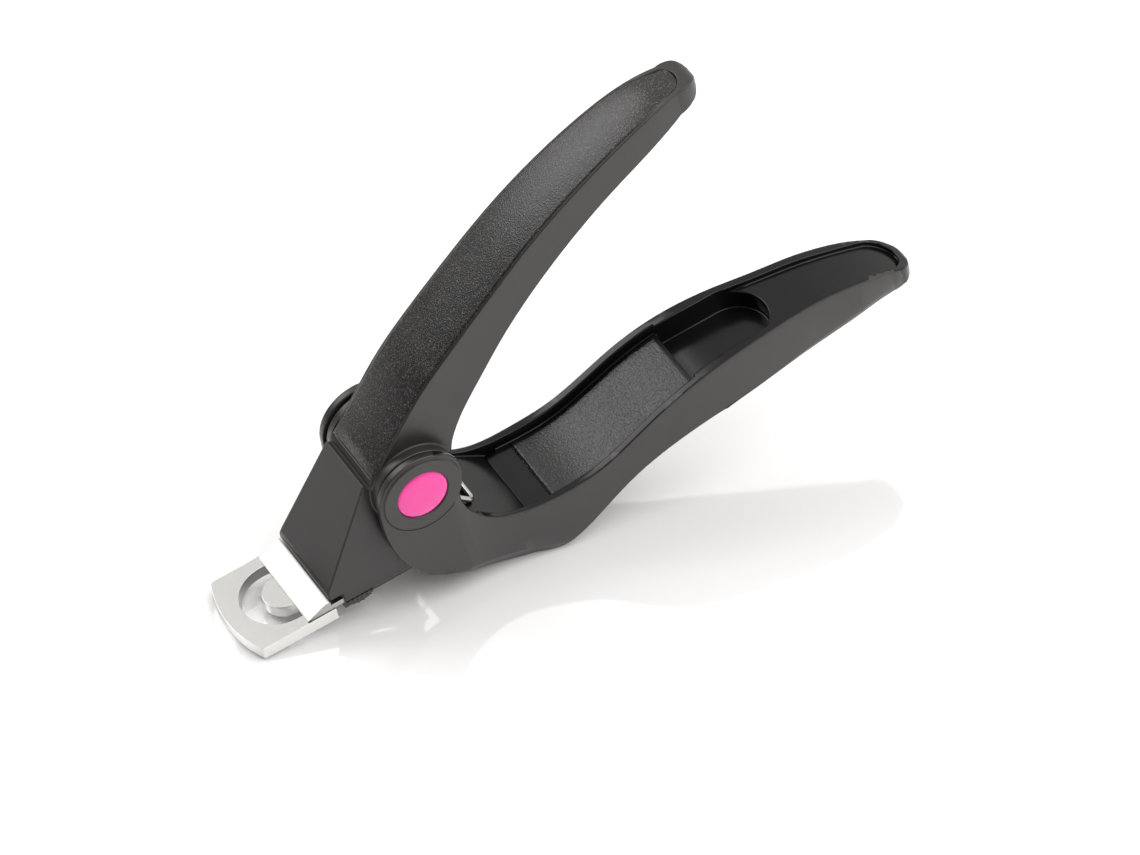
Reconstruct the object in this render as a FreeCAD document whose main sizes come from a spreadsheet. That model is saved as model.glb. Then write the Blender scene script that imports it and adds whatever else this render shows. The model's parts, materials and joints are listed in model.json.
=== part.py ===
"""Hand-held guillotine cutter for artificial nail tips.

Everything is drawn in the plate frame: the origin is on the die plate's top face, midway between its
front corners, +X runs back along the plate towards the handles, +Y is the left side seen from the
handles and +Z is the plate's upward normal. At the end the whole tool is tipped nose down until it
stands on the plate's tip and the lower handle's belly, as it does on a table.
"""
import FreeCAD, Part

import math
import os

import Sketcher

Vector = FreeCAD.Vector
Rotation = FreeCAD.Rotation
Placement = FreeCAD.Placement

# Driving dimensions in millimetres and degrees: alias, value, what it is.
SIZES = [
    ("standTilt", 12.07, "nose-down angle at which the tool stands"),
    ("plateHalfWidth", 9.45, "die plate, half width of its front part"),
    ("plateThick", 2.4, "die plate thickness"),
    ("plateSagitta", 2.0, "how far the plate's front arc stands out"),
    ("plateShoulder", 14.6, "where the plate narrows to its tail"),
    ("plateTailEnd", 34.0, "rear end of the plate's tail"),
    ("tailHalfWidth", 7.0, "half width of the plate's tail"),
    ("nailHoleR", 7.0, "radius of the crescent's outer edge"),
    ("nailHoleX", 8.4, "centre of the crescent's outer edge"),
    ("tongueR", 3.9, "radius of the tongue's round front"),
    ("tongueX", 9.3, "centre of the tongue's round front"),
    ("slideGap", 0.08, "gap between the plate and what it slides under"),
    ("bladeEdgeX", 9.2, "front edge of the blade"),
    ("bladeHalfWidth", 9.15, "half width of the blade"),
    ("bladeThick", 1.9, "blade thickness in front of the nose"),
    ("bladeBase", 1.0, "blade thickness under the nose"),
    ("bevelLength", 3.8, "length of the blade's bevel"),
    ("bladeEnd", 23.8, "rear end of the blade"),
    ("tabEnd", 16.4, "rear end of the blade's side tabs"),
    ("noseFront", 14.0, "front face of the nose"),
    ("noseLipTop", 4.25, "top of the nose's front face"),
    ("noseTopX", 26.1, "top rear corner of the nose"),
    ("noseTopZ", 21.0, "height of the nose's top rear corner"),
    ("noseBaseHalf", 9.4, "half width of the nose at its lower edge"),
    ("noseTopHalf", 6.65, "half width of the nose at its top"),
    ("windowEnd", 16.6, "rear end of the side windows"),
    ("windowTop", 2.0, "top of the side windows"),
    ("webThick", 1.9, "web that the blade is riveted to"),
    ("webEnd", 27.2, "rear end of the web"),
    ("wall", 1.5, "side walls of the upper handle"),
    ("backWall", 1.8, "back wall of the upper handle"),
    ("panelThick", 0.8, "thickness of the grained inlay"),
    ("panelMargin", 1.1, "smooth border beside the inlay"),
    ("pivotX", 34.5, "pivot axis, distance back"),
    ("pivotZ", 16.9, "pivot axis, height over the plate"),
    ("pivotPinR", 2.0, "pivot pin radius"),
    ("runClear", 0.05, "radial running clearance of the pivot"),
    ("cheekHalf", 9.1, "half width of the head between the ears"),
    ("cheekR", 7.8, "radius of the head's cheeks round the pivot"),
    ("wellHalf", 7.6, "half width of the well that the yoke moves in"),
    ("earInner", 9.5, "inner face of the ears"),
    ("earOuter", 11.0, "outer face of the ears"),
    ("earR", 8.2, "radius of the ears round the pivot"),
    ("bossOuter", 11.3, "outer face of the round bosses"),
    ("bossR", 7.55, "radius of the round bosses"),
    ("capR", 4.82, "radius of the pivot caps"),
    ("capDepth", 0.65, "how deep the caps are let in"),
    ("capDome", 0.25, "how far the caps bulge"),
    ("headR", 3.4, "radius of the pivot pin's head and of its ring"),
    ("headThick", 0.4, "thickness of the pivot pin's head and of its ring"),
    ("washerR", 6.0, "outer radius of the pivot washers"),
    ("washerThick", 0.3, "thickness of the pivot washers"),
    ("crankR", 13.0, "distance from the pivot to the drive pin"),
    ("crankHalfAngle", 18.15, "half of the lever's travel, in degrees"),
    ("drivePinR", 1.5, "drive pin radius"),
    ("drivePinHalf", 10.4, "half length of the drive pin"),
    ("pinSlotGap", 0.15, "clearance beside the drive pin in its slots"),
    ("headRimWall", 1.2, "wall outside the drive pin's arc slots"),
    ("throatGap", 0.35, "clearance between the head and the lever's throat"),
    ("webFront", 38.0, "front of the web that joins the ears"),
    ("bushX", 25.5, "guide bush, distance back"),
    ("bushR", 1.5, "guide bush radius"),
    ("bushGap", 0.1, "clearance beside the bush in the guide slot"),
    ("screwR", 0.9, "guide screw radius"),
    ("screwHeadR", 2.7, "guide screw head radius"),
    ("screwHeadThick", 0.9, "guide screw head thickness"),
    ("bladeRivetX", 19.5, "blade rivets, distance back"),
    ("bladeRivetY", 3.2, "blade rivets, distance from the middle"),
    ("rivetR", 0.9, "rivet radius"),
    ("rivetHeadR", 1.55, "rivet head radius"),
    ("rivetHeadThick", 0.6, "rivet head thickness"),
    ("yokeFront", 27.6, "front of the yoke"),
    ("yokeRear", 33.4, "rear of the yoke"),
    ("yokeBase", 1.1, "thickness of the yoke's base"),
    ("yokeTop", 7.0, "top of the yoke's uprights"),
    ("yokeWall", 1.5, "thickness of the yoke's uprights"),
    ("yokeRivetY", 3.3, "yoke rivets, distance from the middle"),
    ("shoeThick", 0.7, "thickness of the slide shoe's floor"),
    ("shoeHalf", 9.2, "half width of the slide shoe at its cheeks"),
    ("shoeCheekFront", 16.7, "front of the ribbed cheeks"),
    ("shoeCheekRear", 21.9, "rear of the ribbed cheeks"),
    ("shoeCheekDrop", 1.6, "how far the ribbed cheeks reach down"),
    ("shoeRibR", 0.28, "radius of the ribs on the cheeks"),
    ("leverReach", 98.5, "pivot to the lower handle's tip"),
    ("frontReach", 69.5, "pivot to the upper handle's end"),
    ("troughWall", 1.6, "walls of the lower handle"),
    ("platformDrop", 2.0, "lower handle's platform below its rim"),
    ("pocketDrop", 4.8, "lower handle's deep pocket below its rim"),
    ("tipDrop", 1.0, "lower handle's tip recess below its rim"),
    ("sleeveR", 2.7, "spring sleeve radius"),
    ("backHalf", 5.6, "half length of the spring sleeve"),
    ("wireR", 0.5, "spring wire radius"),
    ("coilR", 3.4, "spring's mean coil radius"),
    ("coilPitch", 1.05, "distance between the spring's turns"),
    ("bridgeHalf", 4.8, "half length of the spring's bridge"),
    ("bridgeBend", 1.3, "bend between the bridge and its legs"),
]

doc = FreeCAD.newDocument("NailTipCutter")
sheet = doc.addObject("Spreadsheet::Sheet", "Dims")
sheet.Label = "Sizes"
for row, (alias, value, note) in enumerate(SIZES, start=1):
    sheet.set(f"A{row}", note)
    sheet.set(f"B{row}", str(value))
    sheet.setAlias(f"B{row}", alias)
doc.recompute()


def size(expression):
    """Value of an expression of the sheet's aliases, such as size("Dims.plateThick / 2")."""
    return float(sheet.evalExpression(expression))


class Values:
    """Reads a driving dimension by its alias."""

    def __getattr__(self, alias):
        return float(sheet.get(alias))


v = Values()
PIVOT = Vector(v.pivotX, 0, v.pivotZ)
IDENTITY = Placement()
PLANES = {
    "side": Rotation(Vector(1, 0, 0), 90),
    "plan": Rotation(),
    "front": Rotation(Vector(1, 0, 0), 90).multiply(Rotation(Vector(0, 1, 0), 90)),
}
nodes = []


def keep(solid, label, home=IDENTITY):
    """Registers a finished sub-part under its label, with its place in the plate frame."""
    solid.Label = label
    nodes.append((solid, home))
    return solid


# --- drawing -----------------------------------------------------------------------------------

def bind_point(sketch, geometry, end, point):
    """Ties one end of a sketch line to the origin by two expressions of the sheet."""
    for axis, kind, expression in ((-2, "DistanceX", point[0]), (-1, "DistanceY", point[1])):
        value = size(expression)
        if abs(value) < 1e-9:
            sketch.addConstraint(Sketcher.Constraint("PointOnObject", geometry, end, axis))
            continue
        index = sketch.addConstraint(Sketcher.Constraint(kind, -1, 1, geometry, end, value))
        sketch.setExpression(f"Constraints[{index}]", expression)


def draw_polygon(sketch, points):
    """Closed polygon whose corners are pairs of expressions."""
    corners = [Vector(size(x), size(y), 0) for x, y in points]
    first = sketch.GeometryCount
    for here, there in zip(corners, corners[1:] + corners[:1]):
        sketch.addGeometry(Part.LineSegment(here, there), False)
    count = len(corners)
    for index in range(count):
        nxt = (index + 1) % count
        sketch.addConstraint(Sketcher.Constraint("Coincident", first + index, 2, first + nxt, 1))
        bind_point(sketch, first + index, 1, points[index])


def draw_rectangle(sketch, x0, x1, y0, y1):
    """Rectangle between expressions."""
    draw_polygon(sketch, [(x0, y0), (x1, y0), (x1, y1), (x0, y1)])


def draw_circle(sketch, x, y, radius):
    """Circle whose centre and radius are expressions."""
    circle = Part.Circle(Vector(size(x), size(y), 0), Vector(0, 0, 1), size(radius))
    index = sketch.addGeometry(circle, False)
    bind_point(sketch, index, 3, (x, y))
    number = sketch.addConstraint(Sketcher.Constraint("Radius", index, size(radius)))
    sketch.setExpression(f"Constraints[{number}]", radius)


def draw_curves(sketch, pieces):
    """Closed outline of stretches: two points are a line, ("arc", a, m, b) an arc, more a spline."""
    for piece in pieces:
        if piece[0] == "arc":
            ends = [Vector(x, y, 0) for x, y in piece[1:]]
            sketch.addGeometry(Part.Arc(*ends), False)
            continue
        points = [Vector(x, y, 0) for x, y in piece]
        if len(points) == 2:
            sketch.addGeometry(Part.LineSegment(*points), False)
            continue
        curve = Part.BSplineCurve()
        curve.interpolate(points)
        sketch.addGeometry(curve, False)


def prism(plane, length, draw, *arguments, shift=(0, 0, 0)):
    """Solid of a sketch in a named plane, extruded both ways to a total length (an expression)."""
    sketch = doc.addObject("Sketcher::SketchObject", "Outline")
    sketch.Placement = Placement(Vector(*shift), PLANES[plane])
    draw(sketch, *arguments)
    solid = doc.addObject("Part::Extrusion", "Prism")
    solid.Base = sketch
    solid.DirMode = "Normal"
    solid.Symmetric = True
    solid.Solid = True
    solid.setExpression("LengthFwd", length)
    return solid


def cylinder(radius, centre, half_length, direction=Vector(0, 1, 0)):
    """Cylinder centred on a point, its radius and half length expressions."""
    solid = doc.addObject("Part::Cylinder", "Round")
    solid.setExpression("Radius", radius)
    solid.setExpression("Height", f"2 * ({half_length})")
    turn = Rotation(Vector(0, 0, 1), direction)
    start = Vector(centre) - direction * size(half_length)
    solid.Placement = Placement(start, turn)
    return solid


def join(*solids):
    """Union of solids."""
    fused = doc.addObject("Part::MultiFuse", "Join")
    fused.Shapes = list(solids)
    fused.Refine = True
    return fused


def overlap(first, second):
    """What two solids share."""
    common = doc.addObject("Part::MultiCommon", "Overlap")
    common.Shapes = [first, second]
    return common


def cut(base, *tools):
    """A solid less one or more tools."""
    result = doc.addObject("Part::Cut", "Cut")
    result.Base = base
    result.Tool = tools[0] if len(tools) == 1 else join(*tools)
    result.Refine = True
    return result


def origin_plane(body, role):
    """One of a body's own origin planes."""
    return next(item for item in body.Origin.OriginFeatures if item.Role == role)


def body_sketch(body, role, draw, *arguments, lift=None):
    """Sketch on a body's origin plane, lifted off it by an expression."""
    sketch = body.newObject("Sketcher::SketchObject", "Sketch")
    sketch.AttachmentSupport = (origin_plane(body, role), [""])
    sketch.MapMode = "FlatFace"
    if lift is not None:
        sketch.setExpression("AttachmentOffset.Base.z", lift)
    draw(sketch, *arguments)
    doc.recompute()
    return sketch


def pad(body, sketch, length, midplane=False, downwards=False):
    """Adds a pad of a length given by an expression."""
    feature = body.newObject("PartDesign::Pad", "Pad")
    feature.Profile = sketch
    feature.Midplane = midplane
    feature.Reversed = downwards
    feature.setExpression("Length", length)
    doc.recompute()
    return feature


def pocket(body, sketch, length="40"):
    """Cuts a sketch out of a body on both sides of its plane, and makes sure that it did."""
    before = body.Shape.Volume
    feature = body.newObject("PartDesign::Pocket", "Pocket")
    feature.Profile = sketch
    feature.Midplane = True
    feature.setExpression("Length", length)
    doc.recompute()
    if body.Shape.Volume > before - 1e-3:
        raise RuntimeError(f"pocket in {body.Label} cuts nothing")
    return feature


def turned(label, profile, home=IDENTITY):
    """Turned piece: its half section is (radius, along) pairs of expressions round its own Y axis."""
    body = doc.addObject("PartDesign::Body", "Turned")
    sketch = body_sketch(body, "XY_Plane", draw_polygon, profile)
    feature = body.newObject("PartDesign::Revolution", "Revolution")
    feature.Profile = sketch
    feature.ReferenceAxis = (sketch, ["V_Axis"])
    feature.Angle = 360
    doc.recompute()
    return keep(body, label, home)


UPRIGHT = Rotation(Vector(1, 0, 0), 90)


def upright(x, y, z):
    """Place of a turned piece that stands along +Z."""
    return Placement(Vector(x, y, z), UPRIGHT)


# --- curves shared by several pieces -------------------------------------------------------------

def along_lever(stations):
    """Points of the lower handle: (share of its reach behind the pivot, height or half width)."""
    return [(v.pivotX + share * v.leverReach, other) for share, other in stations]


def along_front(stations):
    """Points of the upper handle: (share of its reach behind the pivot, height or half width)."""
    return [(v.pivotX + share * v.frontReach, other) for share, other in stations]


def offset(points, distance):
    """Points moved square to their run, to the right of its direction."""
    moved = []
    for index, (x, y) in enumerate(points):
        ahead = points[min(index + 1, len(points) - 1)]
        behind = points[max(index - 1, 0)]
        dx, dy = ahead[0] - behind[0], ahead[1] - behind[1]
        length = math.hypot(dx, dy)
        moved.append((x + distance * dy / length, y - distance * dx / length))
    return moved


def mirrored_plan(half_widths, tip_x, margin=0.0):
    """Plan outline of a handle: both edges, a square front and a rounded end short of tip_x."""
    edge = [(x, half - margin) for x, half in half_widths]
    other = [(x, -y) for x, y in reversed(edge)]
    end_x = tip_x - margin
    return [
        edge,
        ("arc", edge[-1], (end_x, 0), other[0]),
        other,
        [other[-1], edge[0]],
    ]


BACK_RIDGE = along_front([
    (-0.109, 20.6), (-0.047, 25.3), (0.075, 34.5), (0.178, 40.4), (0.308, 47.1),
    (0.446, 53.7), (0.58, 58.9), (0.721, 63.2), (0.843, 65.9), (0.963, 67.0),
])
BACK_INNER = along_front([
    (0.131, 21.0), (0.174, 25.8), (0.235, 30.6), (0.318, 36.7), (0.426, 43.2),
    (0.545, 49.0), (0.689, 54.6), (0.814, 58.3), (0.968, 62.6),
])
BACK_HALF = along_front([
    (-0.13, 7.3), (0.075, 7.15), (0.308, 6.9), (0.446, 6.6), (0.58, 6.25), (0.721, 5.75),
    (0.843, 5.0), (0.93, 3.9),
])
BACK_END = v.pivotX + v.frontReach
RIM = along_lever([
    (0.093, 3.9), (0.16, -1.0), (0.256, -2.1), (0.323, -1.5), (0.393, 0.8), (0.465, 3.6),
    (0.535, 5.4), (0.605, 6.2), (0.743, 5.9), (0.81, 5.4), (0.874, 4.1), (0.938, 2.0),
    (0.989, -0.9),
])
BELLY = along_lever([
    (0.003, -4.4), (0.071, -9.2), (0.128, -12.3), (0.188, -14.3), (0.241, -14.0),
    (0.289, -12.2), (0.355, -8.9), (0.418, -6.6), (0.479, -5.3), (0.555, -4.6), (0.706, -4.8),
    (0.862, -4.7), (0.983, -3.8),
])
LEVER_HALF = along_lever([
    (0.096, 10.0), (0.256, 9.8), (0.39, 9.5), (0.465, 9.3), (0.535, 9.0), (0.605, 8.5),
    (0.675, 7.75), (0.743, 6.85), (0.81, 6.3), (0.878, 5.8), (0.95, 4.8),
])
LEVER_END = v.pivotX + v.leverReach
# The trough's smooth floor slopes from behind the throat down to the front of the platform.
TROUGH_FLOOR = ((v.pivotX + 6.5, 4.0), (v.pivotX + 20.5, -5.6))
PLATFORM_FRONT = v.pivotX + 20.5
POCKET_FRONT = v.pivotX + 53.5
POCKET_REAR = v.pivotX + 71.5


def round_pivot(radius, degrees):
    """Point of a circle round the pivot, in side view, by its angle above straight back."""
    angle = math.radians(degrees)
    return (v.pivotX + radius * math.cos(angle), v.pivotZ + radius * math.sin(angle))


def pivot_arc(radius, start, end):
    """Arc round the pivot between two angles."""
    return ("arc", round_pivot(radius, start), round_pivot(radius, (start + end) / 2),
            round_pivot(radius, end))


CRANK_REST = -90 - v.crankHalfAngle
CRANK_END = -90 + v.crankHalfAngle


def arc_slot(half_width):
    """Curved slot round the pivot that the drive pin travels in."""
    outer, inner = v.crankR + half_width, v.crankR - half_width
    reach = math.degrees(half_width / v.crankR)
    return [
        pivot_arc(outer, CRANK_REST, CRANK_END),
        ("arc", round_pivot(outer, CRANK_END), round_pivot(v.crankR, CRANK_END + reach),
         round_pivot(inner, CRANK_END)),
        pivot_arc(inner, CRANK_END, CRANK_REST),
        ("arc", round_pivot(inner, CRANK_REST), round_pivot(v.crankR, CRANK_REST - reach),
         round_pivot(outer, CRANK_REST)),
    ]


# --- fixed head ------------------------------------------------------------------------------------

def nose():
    """Wedge-shaped nose: its flanks lean in towards the top."""
    side = prism("side", "24", draw_polygon, [
        ("Dims.noseFront", "Dims.slideGap"), ("Dims.noseFront", "Dims.noseLipTop - 0.8"),
        ("Dims.noseFront + 0.4", "Dims.noseLipTop"), ("Dims.noseTopX", "Dims.noseTopZ"),
        ("Dims.noseTopX + 0.4", "Dims.noseTopZ - 0.7"), ("Dims.pivotX - 4", "Dims.noseTopZ - 1"),
        ("Dims.pivotX - 2", "Dims.pivotZ - 8"), ("Dims.pivotX - 4", "Dims.slideGap"),
    ])
    front = prism("front", "90", draw_polygon, [
        ("-Dims.noseBaseHalf", "0"), ("Dims.noseBaseHalf", "0"), ("Dims.noseTopHalf", "Dims.noseTopZ"),
        ("-Dims.noseTopHalf", "Dims.noseTopZ"),
    ])
    return overlap(side, front)


def back():
    """Upper handle behind the nose, with its rounded end."""
    tail = BACK_RIDGE[-1]
    side = prism("side", "24", draw_curves, [
        BACK_RIDGE,
        ("arc", tail, (BACK_END, (tail[1] + BACK_INNER[-1][1]) / 2), BACK_INNER[-1]),
        BACK_INNER[::-1],
        [BACK_INNER[0], (v.pivotX + 5.5, v.pivotZ - 4)],
        [(v.pivotX + 5.5, v.pivotZ - 4), (v.pivotX - 5.5, v.pivotZ - 4)],
        [(v.pivotX - 5.5, v.pivotZ - 4), BACK_RIDGE[0]],
    ])
    plan = prism("plan", "200", draw_curves, mirrored_plan(BACK_HALF, BACK_END))
    return overlap(side, plan)


def cheeks():
    """Flat cheeks between the ears: a disc round the pivot and the walls of the well below it."""
    disc = cylinder("Dims.cheekR", PIVOT, "Dims.cheekHalf")
    outer = v.crankR + v.drivePinR + v.pinSlotGap + v.headRimWall
    low, rear = round_pivot(outer, -100), round_pivot(outer, -64.5)
    front_x = v.pivotX - 7
    bottom = v.slideGap
    walls = prism("side", "2 * Dims.cheekHalf", draw_curves, [
        [(front_x, bottom), (low[0] - 1.2, bottom)],
        [(low[0] - 1.2, bottom), low],
        pivot_arc(outer, -100, -64.5),
        [rear, (rear[0], rear[1] + 4)],
        [(rear[0], rear[1] + 4), (v.pivotX + 6, v.pivotZ - 5)],
        [(v.pivotX + 6, v.pivotZ - 5), (front_x + 2, v.pivotZ - 5)],
        [(front_x + 2, v.pivotZ - 5), (front_x, bottom)],
    ])
    return join(disc, walls)


def panel_solid(depth, margin):
    """Band under the upper handle's back, a depth thick and a margin narrower than the handle."""
    start = (BACK_RIDGE[0][0] + 0.9, BACK_RIDGE[0][1] + 1.0)
    ridge = [start, *BACK_RIDGE[1:]]
    inner = offset(ridge, depth)
    outer = offset(ridge, -2.0)
    side = prism("side", "24", draw_curves, [
        outer,
        [outer[-1], inner[-1]],
        inner[::-1],
        [inner[0], outer[0]],
    ])
    plan = prism("plan", "200", draw_curves, mirrored_plan(BACK_HALF, BACK_END - 2.0, margin))
    return overlap(side, plan)


def handle_hollow():
    """Hollow of the upper handle, open along its inner edge and round the spring."""
    ceiling = offset(BACK_RIDGE[:-1], v.backWall)[1:]
    front = (v.pivotX - 5.0, v.pivotZ + 3.6)
    last = ceiling[-1]
    floor_front = (v.pivotX - 5.0, v.pivotZ - 9)
    side = prism("side", "24", draw_curves, [
        [front, *ceiling],
        [last, (last[0] + 3.0, last[1] - 16)],
        [(last[0] + 3.0, last[1] - 16), (v.pivotX + 22, v.pivotZ + 6)],
        [(v.pivotX + 22, v.pivotZ + 6), (v.pivotX + 12, v.pivotZ - 9)],
        [(v.pivotX + 12, v.pivotZ - 9), floor_front],
        [floor_front, front],
    ])
    inside = mirrored_plan(BACK_HALF, BACK_END - 2.0, v.wall)
    plan = prism("plan", "200", draw_curves, inside)
    return overlap(side, plan)


def front_handle():
    """The black moulding that carries the blade: nose, cheeks and upper handle in one."""
    outer = join(nose(), back(), cheeks())
    blade_room = prism("side", "24", draw_polygon, [
        ("Dims.noseFront - 2", "-2"), ("Dims.windowEnd", "-2"), ("Dims.windowEnd", "Dims.windowTop"),
        ("Dims.noseFront - 2", "Dims.windowTop"),
    ])
    base_room = prism("side", "2 * Dims.wellHalf", draw_polygon, [
        ("Dims.noseFront", "-2"), ("Dims.webEnd + 1", "-2"),
        ("Dims.webEnd + 1", "Dims.slideGap + Dims.bladeBase"),
        ("Dims.noseFront", "Dims.slideGap + Dims.bladeBase"),
    ])
    web_top = "Dims.slideGap + Dims.bladeBase + Dims.webThick"
    nose_room = prism("side", "2 * (Dims.noseTopHalf - Dims.wall)", draw_polygon, [
        ("Dims.noseFront + 2.4", web_top), ("Dims.noseTopX + 1.2", "Dims.noseTopZ - 1.9"),
        ("Dims.pivotX", "Dims.noseTopZ - 1.9"), ("Dims.pivotX", web_top),
    ])
    well = prism("side", "2 * Dims.wellHalf", draw_polygon, [
        ("Dims.webEnd", "-2"), ("Dims.pivotX + 12", "-2"), ("Dims.pivotX + 12", "Dims.yokeTop + 2"),
        ("Dims.webEnd", "Dims.yokeTop + 2"),
    ])
    slot = prism("side", "24", draw_curves, arc_slot(v.drivePinR + v.pinSlotGap))
    bore = cylinder("Dims.pivotPinR + Dims.runClear", PIVOT, "Dims.earOuter")
    rivets = [
        cylinder("Dims.rivetR", Vector(v.bladeRivetX, side * v.bladeRivetY, 2), "3", Vector(0, 0, 1))
        for side in (-1, 1)
    ]
    screw = cylinder("Dims.screwR", Vector(v.bushX, 0, 2), "3", Vector(0, 0, 1))
    recess = panel_solid(v.panelThick, v.panelMargin)
    solid = cut(outer, blade_room, base_room, nose_room, well, handle_hollow(), slot, bore,
                *rivets, screw, recess)
    return keep(solid, "front_handle")


def front_grip_panel():
    """Grained inlay, flush with the upper handle's back."""
    band = panel_solid(v.panelThick, v.panelMargin)
    return keep(overlap(band, back()), "front_grip_panel")


def blade():
    """Straight blade: bevel, flat strip, thin base under the nose and two side tabs."""
    body = doc.addObject("PartDesign::Body", "Blade")
    low = "Dims.slideGap"
    base_top = "Dims.slideGap + Dims.bladeBase"
    profile = [
        ("Dims.bladeEdgeX", low), ("Dims.bladeEdgeX", "Dims.slideGap + 0.05"),
        ("Dims.bladeEdgeX + Dims.bevelLength", "Dims.bladeThick"),
        ("Dims.noseFront - 0.02", "Dims.bladeThick"),
        ("Dims.noseFront - 0.02", base_top), ("Dims.bladeEnd", base_top), ("Dims.bladeEnd", low),
    ]
    pad(body, body_sketch(body, "XZ_Plane", draw_polygon, profile), "2 * Dims.bladeHalfWidth", True)
    for side in ("", "-"):
        pocket(body, body_sketch(body, "XY_Plane", draw_rectangle, "Dims.tabEnd", "Dims.bladeEnd + 1",
                                 f"{side}(Dims.wellHalf - 0.1)", f"{side}(Dims.bladeHalfWidth + 1)"))
        pocket(body, body_sketch(body, "XY_Plane", draw_circle, "Dims.bladeRivetX",
                                 f"{side}Dims.bladeRivetY", "Dims.rivetR"))
    return keep(body, "blade")


def head_fasteners():
    """Blade rivets, guide bush and guide screw."""
    rivet = [
        ("0", "0"), ("Dims.rivetR", "0"), ("Dims.rivetR", "Dims.bladeBase + Dims.webThick"),
        ("Dims.rivetHeadR", "Dims.bladeBase + Dims.webThick"),
        ("Dims.rivetHeadR * 0.6", "Dims.bladeBase + Dims.webThick + Dims.rivetHeadThick"),
        ("0", "Dims.bladeBase + Dims.webThick + Dims.rivetHeadThick"),
    ]
    for name, side in (("left", 1), ("right", -1)):
        place = upright(v.bladeRivetX, side * v.bladeRivetY, v.slideGap)
        turned(f"blade_rivet_{name}", rivet, place)
    bush_top = v.slideGap + v.bladeBase
    bush_length = "Dims.bladeBase + Dims.plateThick + 3 * Dims.slideGap"
    turned("guide_bush", [
        ("Dims.screwR", "0"), ("Dims.bushR", "0"), ("Dims.bushR", f"-({bush_length})"),
        ("Dims.screwR", f"-({bush_length})"),
    ], upright(v.bushX, 0, bush_top))
    turned("guide_screw", [
        ("0", "Dims.webThick"), ("Dims.screwR", "Dims.webThick"), ("Dims.screwR", f"-({bush_length})"),
        ("Dims.screwHeadR", f"-({bush_length})"),
        ("Dims.screwHeadR * 0.8", f"-({bush_length}) - Dims.screwHeadThick"),
        ("0", f"-({bush_length}) - Dims.screwHeadThick"),
    ], upright(v.bushX, 0, bush_top))


def tangent_from(target, winding):
    """Point where a wire leaves the coil towards a target; winding is +1 or -1."""
    dx, dz = target[0] - v.pivotX, target[1] - v.pivotZ
    angle = math.atan2(dz, dx) + winding * math.acos(v.coilR / math.hypot(dx, dz))
    return angle


def coil(start, sweep, start_y, end_y):
    """Path of a coil that winds backwards over the pivot from an angle through a sweep (radians)."""
    rise = abs(end_y - start_y)
    towards = 1 if end_y > start_y else -1
    helix = Part.makeHelix(rise / (sweep / (2 * math.pi)), rise, v.coilR, 0, towards < 0)
    outward = Vector(math.cos(start), 0, math.sin(start))
    along = Vector(0, towards, 0)
    helix.Placement = Placement(PIVOT + Vector(0, start_y, 0),
                                Rotation(outward, along.cross(outward), along, "ZXY"))
    return helix.Edges


def half_spring(side, bridge, foot):
    """Path of one side of the spring, from its free leg's foot to the end of the bridge."""
    leave = tangent_from(bridge, -1)
    arrive = tangent_from(foot, 1)
    sweep = (leave - arrive) % (2 * math.pi) + 4 * math.pi
    outer_y = side * v.bridgeHalf
    inner_y = side * (v.bridgeHalf - v.coilPitch * sweep / (2 * math.pi))
    start = PIVOT + Vector(v.coilR * math.cos(leave), outer_y, v.coilR * math.sin(leave))
    end = PIVOT + Vector(v.coilR * math.cos(arrive), inner_y, v.coilR * math.sin(arrive))
    corner = Vector(bridge[0], outer_y, bridge[1])
    before = corner - (corner - start).normalize() * v.bridgeBend
    after = corner - Vector(0, side * v.bridgeBend, 0)
    inwards = (before + after - corner * 2).normalize()
    middle = corner + inwards * (v.bridgeBend * (math.sqrt(2) - 1))
    path = [Part.makeLine(Vector(foot[0], inner_y, foot[1]), end)]
    path += coil(leave, sweep, outer_y, inner_y)
    path += [Part.makeLine(start, before), Part.Arc(before, middle, after).toShape()]
    return path, after


def torsion_spring():
    """Double torsion spring: two coils, a bridge on the lever's floor and two free legs."""
    bridge = spring_bridge()
    foot = offset(BACK_RIDGE, v.backWall + v.wireR + 0.15)[3]
    right, right_end = half_spring(-1, bridge, foot)
    left, left_end = half_spring(1, bridge, foot)
    wire = Part.Wire(Part.__sortEdges__(right + [Part.makeLine(right_end, left_end)] + left))
    tip, following = (vertex.Point for vertex in wire.OrderedVertexes[:2])
    section = Part.Wire([Part.Circle(tip, following - tip, v.wireR).toShape()])
    spring = doc.addObject("Part::Feature", "Spring")
    spring.Shape = wire.makePipeShell([section], True, True)
    return keep(spring, "torsion_spring")


def spring_bridge():
    """Centre of the spring's bridge, lying on the lever's sloping floor."""
    (x0, z0), (x1, z1) = TROUGH_FLOOR
    run = math.hypot(x1 - x0, z1 - z0)
    share = 0.25
    nx, nz = -(z1 - z0) / run, (x1 - x0) / run
    reach = v.wireR + 0.03
    return (x0 + share * (x1 - x0) + nx * reach, z0 + share * (z1 - z0) + nz * reach)


# --- lever -------------------------------------------------------------------------------------------

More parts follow.
